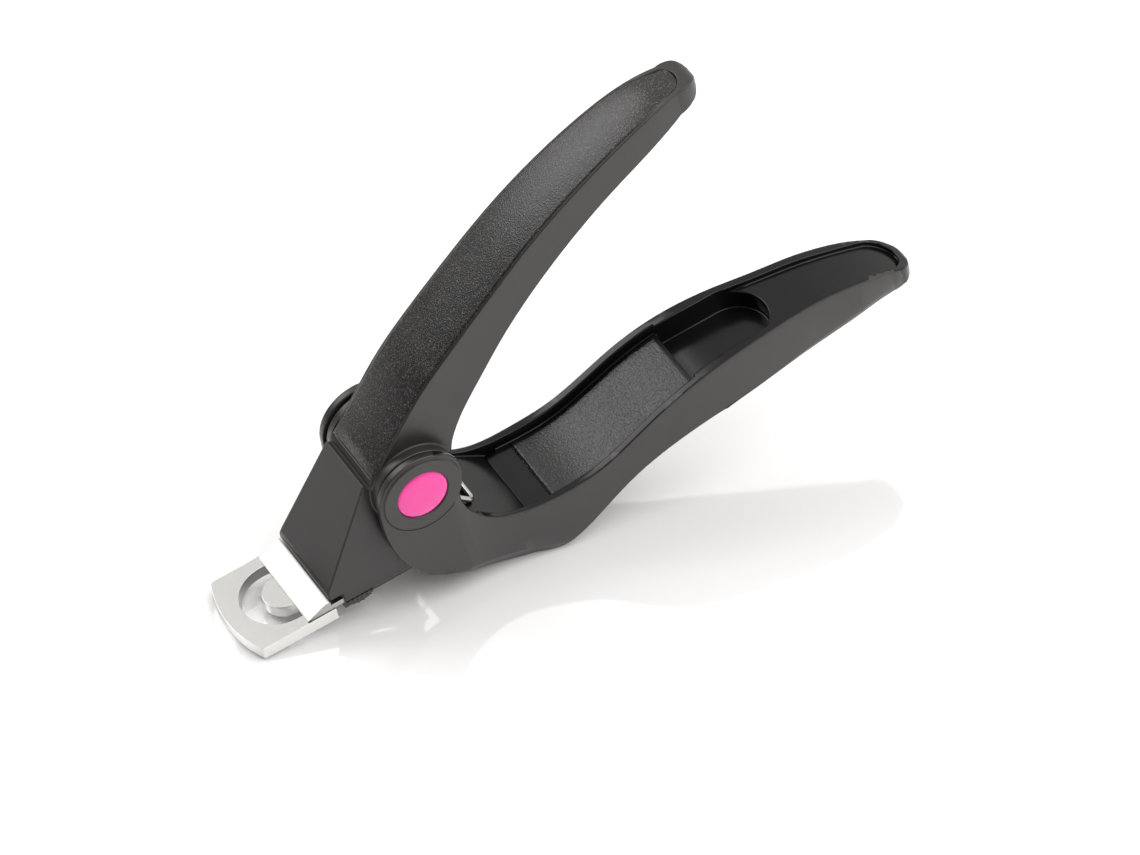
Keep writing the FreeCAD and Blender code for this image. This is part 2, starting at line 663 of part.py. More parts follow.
def lever_blank():
    """Outer shape of the lower handle: both ears, the belly and the tapering trough."""
    disc_front, disc_rear = round_pivot(v.earR, 180), round_pivot(v.earR, -37)
    lobe = [disc_front, (v.pivotX - 7.6, 7.5), (v.pivotX - 6.1, 2.9), (v.pivotX - 1.6, -3.3),
            BELLY[0]]
    tip = (LEVER_END, (BELLY[-1][1] + RIM[-1][1]) / 2)
    side = prism("side", "30", draw_curves, [
        lobe,
        BELLY,
        ("arc", BELLY[-1], tip, RIM[-1]),
        RIM[::-1],
        [RIM[0], (v.pivotX + 7.2, 7.4), (v.pivotX + 6.6, 9.6)],
        [(v.pivotX + 6.6, 9.6), disc_rear],
        pivot_arc(v.earR, -37, 180),
    ])
    ears = [(v.pivotX - 12, v.earOuter), (v.pivotX + 4.5, v.earOuter)]
    plan = prism("plan", "200", draw_curves, [
        ears,
        [ears[1], *LEVER_HALF],
        ("arc", LEVER_HALF[-1], (LEVER_END, 0), (LEVER_HALF[-1][0], -LEVER_HALF[-1][1])),
        [(x, -y) for x, y in reversed([ears[1], *LEVER_HALF])],
        [(ears[1][0], -ears[1][1]), (ears[0][0], -ears[0][1])],
        [(ears[0][0], -ears[0][1]), ears[0]],
    ])
    return overlap(side, plan)


def over_floor(floor, height=14.0):
    """Tool that clears everything over a floor line, in side view."""
    first, last = floor[0], floor[-1]
    side = prism("side", "24", draw_curves, [
        floor,
        [last, (last[0], last[1] + height)],
        [(last[0], last[1] + height), (first[0], first[1] + height)],
        [(first[0], first[1] + height), first],
    ])
    return side


def rim_height(x):
    """Height of the lever's rim at a place along it."""
    curve = Part.BSplineCurve()
    curve.interpolate([Vector(along, height, 0) for along, height in RIM])
    low, high = curve.FirstParameter, curve.LastParameter
    for _ in range(40):
        middle = (low + high) / 2
        if curve.value(middle).x < x:
            low = middle
        else:
            high = middle
    return curve.value(low).y


def rim_floor(start, end, drop):
    """Floor line that follows the rim a drop below it, between two places along the lever."""
    steps = 6
    places = [start + (end - start) * step / steps for step in range(steps + 1)]
    return [(x, rim_height(x) - drop) for x in places]


def trough_plan(margin, end_x):
    """Plan of the trough's hollow: the handle's edge less its wall, with a round end."""
    inside = [(x, half - margin) for x, half in LEVER_HALF if x < end_x - 6]
    inside.insert(0, (v.pivotX + 4.5, inside[0][1]))
    half = inside[-1][1]
    inside.append((end_x - half, half))
    mirrored = [(x, -y) for x, y in reversed(inside)]
    return prism("plan", "200", draw_curves, [
        inside,
        ("arc", inside[-1], (end_x, 0), mirrored[0]),
        mirrored,
        [mirrored[-1], inside[0]],
    ])


def lower_handle():
    """The lever's black moulding: ears with bosses, belly and trough."""
    bosses = cylinder("Dims.bossR", PIVOT, "Dims.bossOuter")
    blank = join(lever_blank(), bosses)
    outer = v.crankR + v.drivePinR + v.pinSlotGap + v.headRimWall
    throat = cylinder(f"{outer} + Dims.throatGap", PIVOT, "Dims.earInner")
    mouth = prism("side", "2 * Dims.earInner", draw_polygon, [
        ("Dims.pivotX - 20", "-20"), ("Dims.webFront", "-20"), ("Dims.webFront", "Dims.pivotZ"),
        ("Dims.pivotX + 12", "Dims.pivotZ"), ("Dims.pivotX + 12", "Dims.pivotZ + 20"),
        ("Dims.pivotX - 20", "Dims.pivotZ + 20"),
    ])
    well = overlap(over_floor(list(TROUGH_FLOOR)), trough_plan(v.troughWall, LEVER_END - 8))
    platform = overlap(over_floor(rim_floor(PLATFORM_FRONT - 0.01, POCKET_FRONT + 0.01,
                                            v.platformDrop)),
                       trough_plan(v.troughWall, LEVER_END - 8))
    pocket_tool = overlap(over_floor(rim_floor(POCKET_FRONT, POCKET_REAR + 1, v.pocketDrop)),
                          trough_plan(v.troughWall + 0.5, POCKET_REAR))
    tip = overlap(over_floor(rim_floor(POCKET_FRONT, LEVER_END - 1.2, v.tipDrop)),
                  trough_plan(v.troughWall, LEVER_END - v.troughWall))
    bore = cylinder("Dims.pivotPinR", PIVOT, "Dims.earOuter + 2")
    cap_seats = []
    pin_seats = []
    for side in (-1, 1):
        cap_centre = PIVOT + Vector(0, side * (v.bossOuter + 1 - v.capDepth), 0)
        cap_seats.append(cylinder("Dims.capR", cap_centre, "1"))
        head_centre = PIVOT + Vector(0, side * (v.bossOuter + 1 - v.capDepth - v.headThick), 0)
        pin_seats.append(cylinder("Dims.headR", head_centre, "1"))
    drive = Vector(*pin_place())
    drive_bore = cylinder("Dims.drivePinR", drive, "Dims.drivePinHalf")
    land = rest_land()
    hollowed = cut(blank, throat, mouth, well, platform, pocket_tool, bore, drive_bore,
                   *cap_seats, *pin_seats, land)
    # The tip's shallow recess crosses the pocket, so it is cut on its own.
    return keep(cut(hollowed, tip), "lower_handle")


def rest_land():
    """Block under the floor plane, which takes the belly's lowest part off flat."""
    block = doc.addObject("Part::Box", "Floor")
    block.Length = 60
    block.Width = 40
    block.Height = 10
    turn = stand_turn()
    # The floor passes under the lower front edge of the plate's arc.
    toe = turn.multVec(Vector(-v.plateSagitta, 0, -v.plateThick))
    corner = Vector(30, -20, toe.z - 10)
    block.Placement = Placement(turn.inverted().multVec(corner), turn.inverted())
    return block


def stand_turn():
    """Rotation that tips the plate frame nose down."""
    rotation = Rotation(Vector(0, 1, 0), -size("Dims.standTilt"))
    return rotation


def pin_place():
    """Centre of the drive pin at rest."""
    x, z = round_pivot(v.crankR, CRANK_REST)
    return (x, 0, z)


def lever_hardware():
    """Pivot pin, its retaining ring, washers, caps and the drive pin."""
    inside = "(Dims.bossOuter - Dims.capDepth)"
    place = Placement(PIVOT, Rotation())
    turned("pivot_pin", [
        ("0", f"-{inside}"), ("Dims.pivotPinR - 0.4", f"-{inside}"),
        ("Dims.pivotPinR - 0.4", f"-{inside} + Dims.headThick"),
        ("Dims.pivotPinR", f"-{inside} + Dims.headThick"), ("Dims.pivotPinR", f"{inside} - Dims.headThick"),
        ("Dims.headR", f"{inside} - Dims.headThick"), ("Dims.headR", inside), ("0", inside),
    ], place)
    turned("retaining_ring", [
        ("Dims.pivotPinR - 0.4", f"-{inside}"), ("Dims.headR", f"-{inside}"),
        ("Dims.headR", f"-{inside} + Dims.headThick"),
        ("Dims.pivotPinR - 0.4", f"-{inside} + Dims.headThick"),
    ], place)
    for name, side in (("left", 1), ("right", -1)):
        mirror = Rotation() if side > 0 else Rotation(Vector(1, 0, 0), 180)
        home = Placement(PIVOT, mirror)
        turned(f"pivot_washer_{name}", [
            ("Dims.pivotPinR", "Dims.earInner - Dims.washerThick"),
            ("Dims.washerR", "Dims.earInner - Dims.washerThick"),
            ("Dims.washerR", "Dims.earInner"), ("Dims.pivotPinR", "Dims.earInner"),
        ], home)
        turned(f"pivot_cap_{name}", [
            ("0", inside), ("Dims.capR", inside), ("Dims.capR", "Dims.bossOuter - 0.1"),
            ("Dims.capR - 0.5", "Dims.bossOuter + 0.08"),
            ("Dims.capR * 0.5", "Dims.bossOuter + Dims.capDome * 0.8"),
            ("0", "Dims.bossOuter + Dims.capDome"),
        ], home)
    turned("drive_pin", [
        ("0", "-Dims.drivePinHalf"), ("Dims.drivePinR", "-Dims.drivePinHalf"),
        ("Dims.drivePinR", "Dims.drivePinHalf"), ("0", "Dims.drivePinHalf"),
    ], Placement(Vector(*pin_place()), Rotation()))


# --- slide -------------------------------------------------------------------------------------------

def plate_outline(sketch):
    """Plate seen from above: arched front, wide part and narrow tail."""
    half, tail = v.plateHalfWidth, v.tailHalfWidth
    corner = (v.plateTailEnd - 1.0, v.plateTailEnd)
    draw_curves(sketch, [
        ("arc", (0, half), (-v.plateSagitta, 0), (0, -half)),
        [(0, -half), (v.plateShoulder, -half)],
        [(v.plateShoulder, -half), (v.plateShoulder, -tail)],
        [(v.plateShoulder, -tail), (corner[0], -tail)],
        [(corner[0], -tail), (corner[1], -tail + 1.0)],
        [(corner[1], -tail + 1.0), (corner[1], tail - 1.0)],
        [(corner[1], tail - 1.0), (corner[0], tail)],
        [(corner[0], tail), (v.plateShoulder, tail)],
        [(v.plateShoulder, tail), (v.plateShoulder, half)],
        [(v.plateShoulder, half), (0, half)],
    ])


def crescent(sketch):
    """Slot for the nail tip: a round hole less the tongue that reaches into it from behind."""
    meet_x = v.nailHoleX + math.sqrt(v.nailHoleR ** 2 - v.tongueR ** 2)
    draw_curves(sketch, [
        ("arc", (meet_x, v.tongueR), (v.nailHoleX - v.nailHoleR, 0), (meet_x, -v.tongueR)),
        [(meet_x, -v.tongueR), (v.tongueX, -v.tongueR)],
        ("arc", (v.tongueX, -v.tongueR), (v.tongueX - v.tongueR, 0), (v.tongueX, v.tongueR)),
        [(v.tongueX, v.tongueR), (meet_x, v.tongueR)],
    ])


TRAVEL = 2 * v.crankR * math.sin(math.radians(v.crankHalfAngle))


def guide_slot(sketch):
    """Long slot that the guide bush runs in."""
    half = v.bushR + v.bushGap
    front, rear = v.bushX - TRAVEL, v.bushX
    draw_curves(sketch, [
        ("arc", (front, half), (front - half, 0), (front, -half)),
        [(front, -half), (rear, -half)],
        ("arc", (rear, -half), (rear + half, 0), (rear, half)),
        [(rear, half), (front, half)],
    ])


def yoke_rivet_x():
    """Yoke rivets stand under the drive pin."""
    return pin_place()[0]


def rivet_hole(sketch, side):
    """Hole of a yoke rivet."""
    centre = Vector(yoke_rivet_x(), side * v.yokeRivetY, 0)
    sketch.addGeometry(Part.Circle(centre, Vector(0, 0, 1), v.rivetR), False)


def die_plate():
    """Steel plate with the crescent slot, tongue, guide slot and rivet holes."""
    body = doc.addObject("PartDesign::Body", "DiePlate")
    pad(body, body_sketch(body, "XY_Plane", plate_outline), "Dims.plateThick", downwards=True)
    pocket(body, body_sketch(body, "XY_Plane", crescent))
    pocket(body, body_sketch(body, "XY_Plane", guide_slot))
    for side in (-1, 1):
        pocket(body, body_sketch(body, "XY_Plane", rivet_hole, side))
    return keep(body, "die_plate")


def pin_slot(sketch):
    """Upright slot of the yoke, in side view: the drive pin rises and falls in it."""
    x = pin_place()[0]
    half = v.drivePinR + v.pinSlotGap
    low = v.pivotZ - v.crankR - 0.1
    high = pin_place()[2] + 0.1
    draw_curves(sketch, [
        ("arc", (x - half, low), (x, low - half), (x + half, low)),
        [(x + half, low), (x + half, high)],
        ("arc", (x + half, high), (x, high + half), (x - half, high)),
        [(x - half, high), (x - half, low)],
    ])


def slide_yoke():
    """Steel bracket on the plate's tail: a base and two slotted uprights."""
    body = doc.addObject("PartDesign::Body", "Yoke")
    profile = [("Dims.yokeFront", "0"), ("Dims.yokeRear", "0"), ("Dims.yokeRear", "Dims.yokeTop - 1"),
               ("Dims.yokeRear - 1", "Dims.yokeTop"), ("Dims.yokeFront + 1", "Dims.yokeTop"),
               ("Dims.yokeFront", "Dims.yokeTop - 1")]
    pad(body, body_sketch(body, "XZ_Plane", draw_polygon, profile), "2 * Dims.tailHalfWidth", True)
    between = "Dims.tailHalfWidth - Dims.yokeWall"
    pocket(body, body_sketch(body, "YZ_Plane", draw_rectangle, f"-({between})", between,
                             "Dims.yokeBase", "Dims.yokeTop + 1"), "120")
    pocket(body, body_sketch(body, "XZ_Plane", pin_slot))
    for side in (-1, 1):
        pocket(body, body_sketch(body, "XY_Plane", rivet_hole, side))
    return keep(body, "slide_yoke")


def cheek_outline(sketch):
    """Ribbed cheek in side view: straight top, arched bottom."""
    front, rear = v.shoeCheekFront, v.shoeCheekRear
    top, low = -2 * v.slideGap, -v.shoeCheekDrop
    draw_curves(sketch, [
        ("arc", (front, top - 0.4), ((front + rear) / 2, low), (rear, top - 0.4)),
        [(rear, top - 0.4), (rear, top)],
        [(rear, top), (front, top)],
        [(front, top), (front, top - 0.4)],
    ])


def slide_shoe():
    """Black runner under the plate's tail, with ribbed cheeks beside it."""
    cheek_bar = prism("side", "2 * Dims.shoeHalf", draw_curves_of, cheek_outline)
    tail_room = prism("plan", "2 * Dims.plateThick", draw_rectangle, "Dims.shoeCheekFront - 1",
                      "Dims.plateTailEnd + 1", "-Dims.tailHalfWidth", "Dims.tailHalfWidth")
    wide = prism("plan", "2 * Dims.plateThick", draw_rectangle, "Dims.shoeCheekFront",
                 "Dims.shoeCheekRear", "-Dims.tailHalfWidth - 0.6", "Dims.tailHalfWidth + 0.6")
    collar = overlap(wide, below_plate_top())
    floor = prism("plan", "Dims.shoeThick", draw_polygon, [
        ("Dims.shoeCheekFront", "-Dims.tailHalfWidth - 0.6"),
        ("Dims.shoeCheekRear", "-Dims.tailHalfWidth - 0.6"),
        ("Dims.shoeCheekRear", "-Dims.tailHalfWidth"), ("Dims.yokeRear", "-Dims.tailHalfWidth"),
        ("Dims.yokeRear", "Dims.tailHalfWidth"), ("Dims.shoeCheekRear", "Dims.tailHalfWidth"),
        ("Dims.shoeCheekRear", "Dims.tailHalfWidth + 0.6"),
        ("Dims.shoeCheekFront", "Dims.tailHalfWidth + 0.6"),
    ], shift=(0, 0, -v.plateThick - v.shoeThick / 2))
    screw_room = prism("plan", "12", draw_rectangle, "Dims.shoeCheekFront - 1",
                       "Dims.bushX + Dims.screwHeadR + 0.3", "-Dims.screwHeadR - 0.3",
                       "Dims.screwHeadR + 0.3")
    holes = [
        cylinder("Dims.rivetR", Vector(yoke_rivet_x(), side * v.yokeRivetY, -3), "2",
                 Vector(0, 0, 1))
        for side in (-1, 1)
    ]
    solid = cut(join(cheek_bar, collar, floor, *cheek_ribs()), tail_room, screw_room, *holes)
    return keep(solid, "slide_shoe")


def draw_curves_of(sketch, outline):
    """Draws a sketch with an outline function."""
    outline(sketch)


def below_plate_top():
    """Block under the nose, as deep as the plate."""
    return prism("plan", "Dims.plateThick - 2 * Dims.slideGap", draw_rectangle, "Dims.shoeCheekFront",
                 "Dims.shoeCheekRear", "-20", "20",
                 shift=(0, 0, -v.plateThick / 2 - v.slideGap))


def cheek_ribs():
    """Upright ribs on the outside of both cheeks."""
    count = 6
    spacing = (v.shoeCheekRear - v.shoeCheekFront - 2 * v.shoeRibR) / (count - 1)
    middle = (v.shoeCheekFront + v.shoeCheekRear) / 2
    half_run = (v.shoeCheekRear - v.shoeCheekFront) / 2
    ribs = []
    for index in range(count):
        x = v.shoeCheekFront + v.shoeRibR + index * spacing
        rise = 1 - ((x - middle) / half_run) ** 2
        depth = 0.35 + (v.shoeCheekDrop - 0.55) * rise
        for side in (-1, 1):
            centre = Vector(x, side * (v.shoeHalf - 0.1), -2 * v.slideGap - depth / 2)
            ribs.append(cylinder("Dims.shoeRibR", centre, f"{depth / 2}", Vector(0, 0, 1)))
    return ribs


def yoke_rivets():
    """Rivets through the yoke, the plate and the shoe."""
    bottom = "-(Dims.plateThick + Dims.shoeThick)"
    for name, side in (("left", 1), ("right", -1)):
        turned(f"yoke_rivet_{name}", [
            ("0", bottom), ("Dims.rivetR", bottom), ("Dims.rivetR", "Dims.yokeBase"),
            ("Dims.rivetHeadR * 0.8", "Dims.yokeBase"), ("Dims.rivetHeadR * 0.5", "Dims.yokeBase + 0.45"),
            ("0", "Dims.yokeBase + 0.45"),
        ], upright(yoke_rivet_x(), side * v.yokeRivetY, 0))


# --- the whole tool ----------------------------------------------------------------------------------

front_handle()
front_grip_panel()
blade()
head_fasteners()
turned("spring_sleeve", [
    ("Dims.pivotPinR + Dims.runClear", "-(Dims.backHalf)"), ("Dims.sleeveR", "-(Dims.backHalf)"),
    ("Dims.sleeveR", "Dims.backHalf"), ("Dims.pivotPinR + Dims.runClear", "Dims.backHalf"),
], Placement(PIVOT, Rotation()))
torsion_spring()
lower_handle()
lever_hardware()
die_plate()
slide_yoke()
slide_shoe()
yoke_rivets()
doc.recompute()

# The tool stands on its origin: the middle of its bounding box at floor level.
tip_over = Placement(Vector(), stand_turn())
for solid, home in nodes:
    solid.Placement = tip_over.multiply(home)
doc.recompute()
bounds = FreeCAD.BoundBox()
for solid, home in nodes:
    bounds.add(solid.Shape.optimalBoundingBox(True, False))
shift = Vector(-(bounds.XMin + bounds.XMax) / 2, -(bounds.YMin + bounds.YMax) / 2, -bounds.ZMin)
stand = Placement(shift, stand_turn())
for solid, home in nodes:
    solid.Placement = stand.multiply(home)
doc.recompute()

for item in doc.Objects:
    if "Invalid" in item.State or "Error" in item.State:
        raise RuntimeError(f"{item.Name} did not build: {item.State}")
os.makedirs("parts", exist_ok=True)
for solid, home in nodes:
    shape = solid.Shape
    if shape.isNull() or not shape.isValid() or not shape.Solids:
        raise RuntimeError(f"{solid.Label} is not a valid solid")
    shape.exportStep(f"parts/{solid.Label}.step")
    print(f"{solid.Label}: {len(shape.Solids)} solid, {shape.Volume:.1f} cubic mm")
print(f"size {bounds.XLength:.2f} x {bounds.YLength:.2f} x {bounds.ZLength:.2f}, shift {shift}")
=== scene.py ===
"""Looks of a hand-held guillotine cutter for artificial nail tips.

Sizes are in millimetres in the plate frame: X runs back along the die plate from its front edge, Y
is the side and Z is the plate's upward normal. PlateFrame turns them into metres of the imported
model. The studio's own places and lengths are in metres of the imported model.
"""
from __future__ import annotations

import json
import logging
import math
from dataclasses import dataclass, field
from enum import Enum
from typing import Callable

import bmesh
import bpy
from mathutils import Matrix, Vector

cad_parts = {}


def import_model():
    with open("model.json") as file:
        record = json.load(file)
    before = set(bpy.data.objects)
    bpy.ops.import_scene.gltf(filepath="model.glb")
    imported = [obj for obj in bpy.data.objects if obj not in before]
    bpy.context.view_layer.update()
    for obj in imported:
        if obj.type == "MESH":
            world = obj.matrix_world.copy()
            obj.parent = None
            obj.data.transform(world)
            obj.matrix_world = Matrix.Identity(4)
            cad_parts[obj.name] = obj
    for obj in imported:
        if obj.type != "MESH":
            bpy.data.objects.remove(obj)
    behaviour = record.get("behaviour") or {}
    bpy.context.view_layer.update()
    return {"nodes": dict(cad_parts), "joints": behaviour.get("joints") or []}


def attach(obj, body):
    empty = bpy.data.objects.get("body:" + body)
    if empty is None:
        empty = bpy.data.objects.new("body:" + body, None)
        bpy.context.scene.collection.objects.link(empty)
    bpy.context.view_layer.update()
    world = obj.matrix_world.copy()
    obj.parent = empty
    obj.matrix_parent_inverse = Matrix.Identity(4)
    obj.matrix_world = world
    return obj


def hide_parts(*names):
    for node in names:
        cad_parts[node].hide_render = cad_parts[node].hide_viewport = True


log = logging.getLogger("nail_tip_cutter")
Station = tuple[float, float]
Triple = tuple[float, float, float]
MM = 0.001
SAME_PLACE = 1e-7  # metres: corners of a new piece closer than this are one
WELD_GAP = 2e-6  # metres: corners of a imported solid's triangles closer than this are one
FLAT_ANGLE = math.radians(1.0)  # triangles that meet flatter than this become one face
EDGE_ANGLE = math.radians(32.0)  # edges sharper than this are rounded


class Body(Enum):
    """Moving parts of the tool."""

    HEAD = "head"
    LEVER = "lever"
    SLIDE = "slide"


class Slot(Enum):
    """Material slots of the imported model."""

    BLACK = "black_plastic"
    GRAIN = "grained_inlay"
    PINK = "pink_plastic"
    STEEL = "steel"


# --- colour and node helpers --------------------------------------------------------------------


def linear(code: str) -> tuple[float, float, float, float]:
    """Turns an sRGB hex colour into linear RGBA.

    Args:
        code: Six hex digits.

    Returns:
        Linear red, green, blue and an alpha of one.
    """
    parts = [int(code[at:at + 2], 16) / 255 for at in (0, 2, 4)]
    red, green, blue = (part / 12.92 if part <= 0.04045 else ((part + 0.055) / 1.055) ** 2.4
                        for part in parts)
    return (red, green, blue, 1.0)


def per_metre(size_mm: float) -> float:
    """Texture scale that gives a pattern of this size in millimetres."""
    return 1.0 / (size_mm * MM)


def add_node(tree: bpy.types.NodeTree, kind: str, inputs: dict[str | int, object] | None = None,
             **settings: object) -> bpy.types.Node:
    """Adds a node with its settings and links.

    Args:
        tree: Tree that gets the node.
        kind: Blender's type name of the node.
        inputs: Values or linked sockets, by input name or number.
        **settings: Properties of the node.

    Returns:
        The new node.
    """
    node = tree.nodes.new(kind)
    for name, value in settings.items():
        setattr(node, name, value)
    for key, value in (inputs or {}).items():
        if isinstance(value, bpy.types.NodeSocket):
            tree.links.new(value, node.inputs[key])
        else:
            node.inputs[key].default_value = value
    return node


def new_material(
        name: str, build: Callable[[bpy.types.NodeTree, bpy.types.NodeSocket], bpy.types.Node]
) -> bpy.types.Material:
    """Makes a node material.

    Args:
        name: Name of the finish.
        build: Adds the nodes, given the tree and the object coordinates, and returns the shader.

    Returns:
        The material.
    """
    material = bpy.data.materials.new(name)
    material.use_nodes = True
    tree = material.node_tree
    tree.nodes.clear()
    place = add_node(tree, "ShaderNodeTexCoord").outputs["Object"]
    shader = build(tree, place)
    add_node(tree, "ShaderNodeOutputMaterial", {"Surface": shader.outputs[0]})
    return material


# --- finishes -----------------------------------------------------------------------------------


@dataclass(frozen=True)
class SatinMoulding:
    """Black ABS, moulded in a lightly blasted tool: a soft grey sheen, no clear reflections."""

    colour: str = "292525"
    roughness: float = 0.38
    skin_mm: float = 0.22
    spread: float = 0.05
    flow_mm: float = 9.0
    relief_mm: float = 0.004

    def material(self) -> bpy.types.Material:
        """Builds the material."""
        return new_material("black_abs_satin_moulded", self._nodes)

    def _nodes(self, tree: bpy.types.NodeTree, place: bpy.types.NodeSocket) -> bpy.types.Node:
        """Skin of the blasted tool as bump, flow of the melt as faint gloss variation.

        Args:
            tree: The material's tree.
            place: Object coordinates.

        Returns:
            The shader.
        """
        skin = add_node(tree, "ShaderNodeTexNoise", {
            "Vector": place, "Scale": per_metre(self.skin_mm), "Detail": 3.0})
        flow = add_node(tree, "ShaderNodeTexNoise", {
            "Vector": place, "Scale": per_metre(self.flow_mm), "Detail": 2.0})
        gloss = add_node(tree, "ShaderNodeMapRange", {
            "Value": flow.outputs["Fac"],
            "To Min": self.roughness - self.spread, "To Max": self.roughness + self.spread})
        bump = add_node(tree, "ShaderNodeBump", {
            "Height": skin.outputs["Fac"], "Strength": 0.5, "Distance": self.relief_mm * MM})
        return add_node(tree, "ShaderNodeBsdfPrincipled", {
            "Base Color": linear(self.colour), "Roughness": gloss.outputs["Result"], "IOR": 1.53,
            "Normal": bump.outputs["Normal"]})


@dataclass(frozen=True)
class GlossMouldingPaintedShade:
    """Black ABS from the polished core of the tool, with tight, dark reflections; its deep black,
    darker than the satin outside, is painted shade for the trough's hollow.
    """

    # painted shade: darker than the satin colour so the trough's hollow looks shaded; the lower
    # roughness is the real polish
    colour: str = "0d0c0d"
    roughness: float = 0.2
    spread: float = 0.06
    flow_mm: float = 5.0

    def material(self) -> bpy.types.Material:
        """Builds the material."""
        return new_material("black_abs_polished_painted_shade", self._nodes)

    def _nodes(self, tree: bpy.types.NodeTree, place: bpy.types.NodeSocket) -> bpy.types.Node:
        """Faint unevenness of the melt in the gloss.

        Args:
            tree: The material's tree.
            place: Object coordinates.

        Returns:
            The shader.
        """
        flow = add_node(tree, "ShaderNodeTexNoise", {
            "Vector": place, "Scale": per_metre(self.flow_mm), "Detail": 2.0})
        gloss = add_node(tree, "ShaderNodeMapRange", {
            "Value": flow.outputs["Fac"],
            "To Min": self.roughness - self.spread, "To Max": self.roughness + self.spread})
        return add_node(tree, "ShaderNodeBsdfPrincipled", {
            "Base Color": linear(self.colour), "Roughness": gloss.outputs["Result"], "IOR": 1.36})


@dataclass(frozen=True)
class GrainedMoulding:
    """Black ABS with an etched leather grain: dark, with painted glints on the highest grains."""

    name: str = "black_abs_grained_back"
    colour: str = "131213"
    # painted highlight: lighter colour that stands in for the glints on the highest grains
    painted_glint: str = "6a6461"
    grain_mm: float = 0.28
    relief_mm: float = 0.045
    roughness: float = 0.30
    winding: float = 0.6

    def material(self) -> bpy.types.Material:
        """Builds the material."""
        return new_material(self.name, self._nodes)

    def _nodes(self, tree: bpy.types.NodeTree, place: bpy.types.NodeSocket) -> bpy.types.Node:
        """Grains as bump; the highest ones get a lighter colour as a painted glint.

        Args:
            tree: The material's tree.
            place: Object coordinates.

        Returns:
            The shader.
        """
        grain = add_node(tree, "ShaderNodeTexNoise", {
            "Vector": place, "Scale": per_metre(self.grain_mm), "Detail": 2.0, "Roughness": 0.55,
            "Distortion": self.winding})
        fine = add_node(tree, "ShaderNodeTexVoronoi", {
            "Vector": place, "Scale": per_metre(self.grain_mm * 0.8)}, feature="SMOOTH_F1")
        height = add_node(tree, "ShaderNodeMath", {
            0: grain.outputs["Fac"], 1: fine.outputs["Distance"]}, operation="SUBTRACT")
        bump = add_node(tree, "ShaderNodeBump", {
            "Height": height.outputs[0], "Strength": 0.9, "Distance": self.relief_mm * MM})
        # painted glint: the highest grains get a lighter base colour in place of their highlights
        painted_glint_share = add_node(tree, "ShaderNodeMapRange", {
            "Value": height.outputs[0], "From Min": 0.16, "From Max": 0.5})
        colour = add_node(tree, "ShaderNodeMix", {
            "Factor": painted_glint_share.outputs["Result"], "A": linear(self.colour), "B": linear(self.painted_glint)},
            data_type="RGBA")
        return add_node(tree, "ShaderNodeBsdfPrincipled", {
            "Base Color": colour.outputs["Result"], "Roughness": self.roughness, "IOR": 1.53,
            "Normal": bump.outputs["Normal"]})


@dataclass(frozen=True)
class PinkMoulding:
    """Bright pink ABS from a polished tool: saturated colour under a clear gloss."""

    colour: str = "f0269a"
    roughness: float = 0.16
    flow_mm: float = 3.0

    def material(self) -> bpy.types.Material:
        """Builds the material."""
        return new_material("pink_abs_polished_moulded", self._nodes)

    def _nodes(self, tree: bpy.types.NodeTree, place: bpy.types.NodeSocket) -> bpy.types.Node:
        """Faint ripple of the moulded skin under the gloss.

        Args:
            tree: The material's tree.
            place: Object coordinates.

        Returns:
            The shader.
        """
        flow = add_node(tree, "ShaderNodeTexNoise", {
            "Vector": place, "Scale": per_metre(self.flow_mm), "Detail": 1.0})
        bump = add_node(tree, "ShaderNodeBump", {
            "Height": flow.outputs["Fac"], "Strength": 0.25, "Distance": 0.01 * MM})
        return add_node(tree, "ShaderNodeBsdfPrincipled", {
            "Base Color": linear(self.colour), "Roughness": self.roughness, "IOR": 1.53,
            "Normal": bump.outputs["Normal"], "Coat Weight": 0.4, "Coat Roughness": 0.08})


@dataclass(frozen=True)
class GroundSteel:
    """Hardened stainless steel, ground flat and polished: bright, with fine lines across it."""

    name: str
    colour: str
    roughness: float
    spread: float = 0.06
    line_mm: float = 0.12
    run_mm: float = 6.0
    relief_mm: float = 0.0015

    def material(self) -> bpy.types.Material:
        """Builds the material."""
        return new_material(self.name, self._nodes)

    def _nodes(self, tree: bpy.types.NodeTree, place: bpy.types.NodeSocket) -> bpy.types.Node:
        """Grinding lines as stretched noise, in the relief and in the gloss.

        Args:
            tree: The material's tree.
            place: Object coordinates.

        Returns:
            The shader.
        """
        stretched = add_node(tree, "ShaderNodeMapping", {
            "Vector": place, "Scale": (1.0, self.line_mm / self.run_mm, 1.0)})
        lines = add_node(tree, "ShaderNodeTexNoise", {
            "Vector": stretched.outputs[0], "Scale": per_metre(self.line_mm), "Detail": 2.0})
        gloss = add_node(tree, "ShaderNodeMapRange", {
            "Value": lines.outputs["Fac"],
            "To Min": self.roughness - self.spread, "To Max": self.roughness + self.spread})
        bump = add_node(tree, "ShaderNodeBump", {
            "Height": lines.outputs["Fac"], "Strength": 0.5, "Distance": self.relief_mm * MM})
        return add_node(tree, "ShaderNodeBsdfPrincipled", {
            "Base Color": linear(self.colour), "Metallic": 1.0,
            "Roughness": gloss.outputs["Result"], "Normal": bump.outputs["Normal"]})


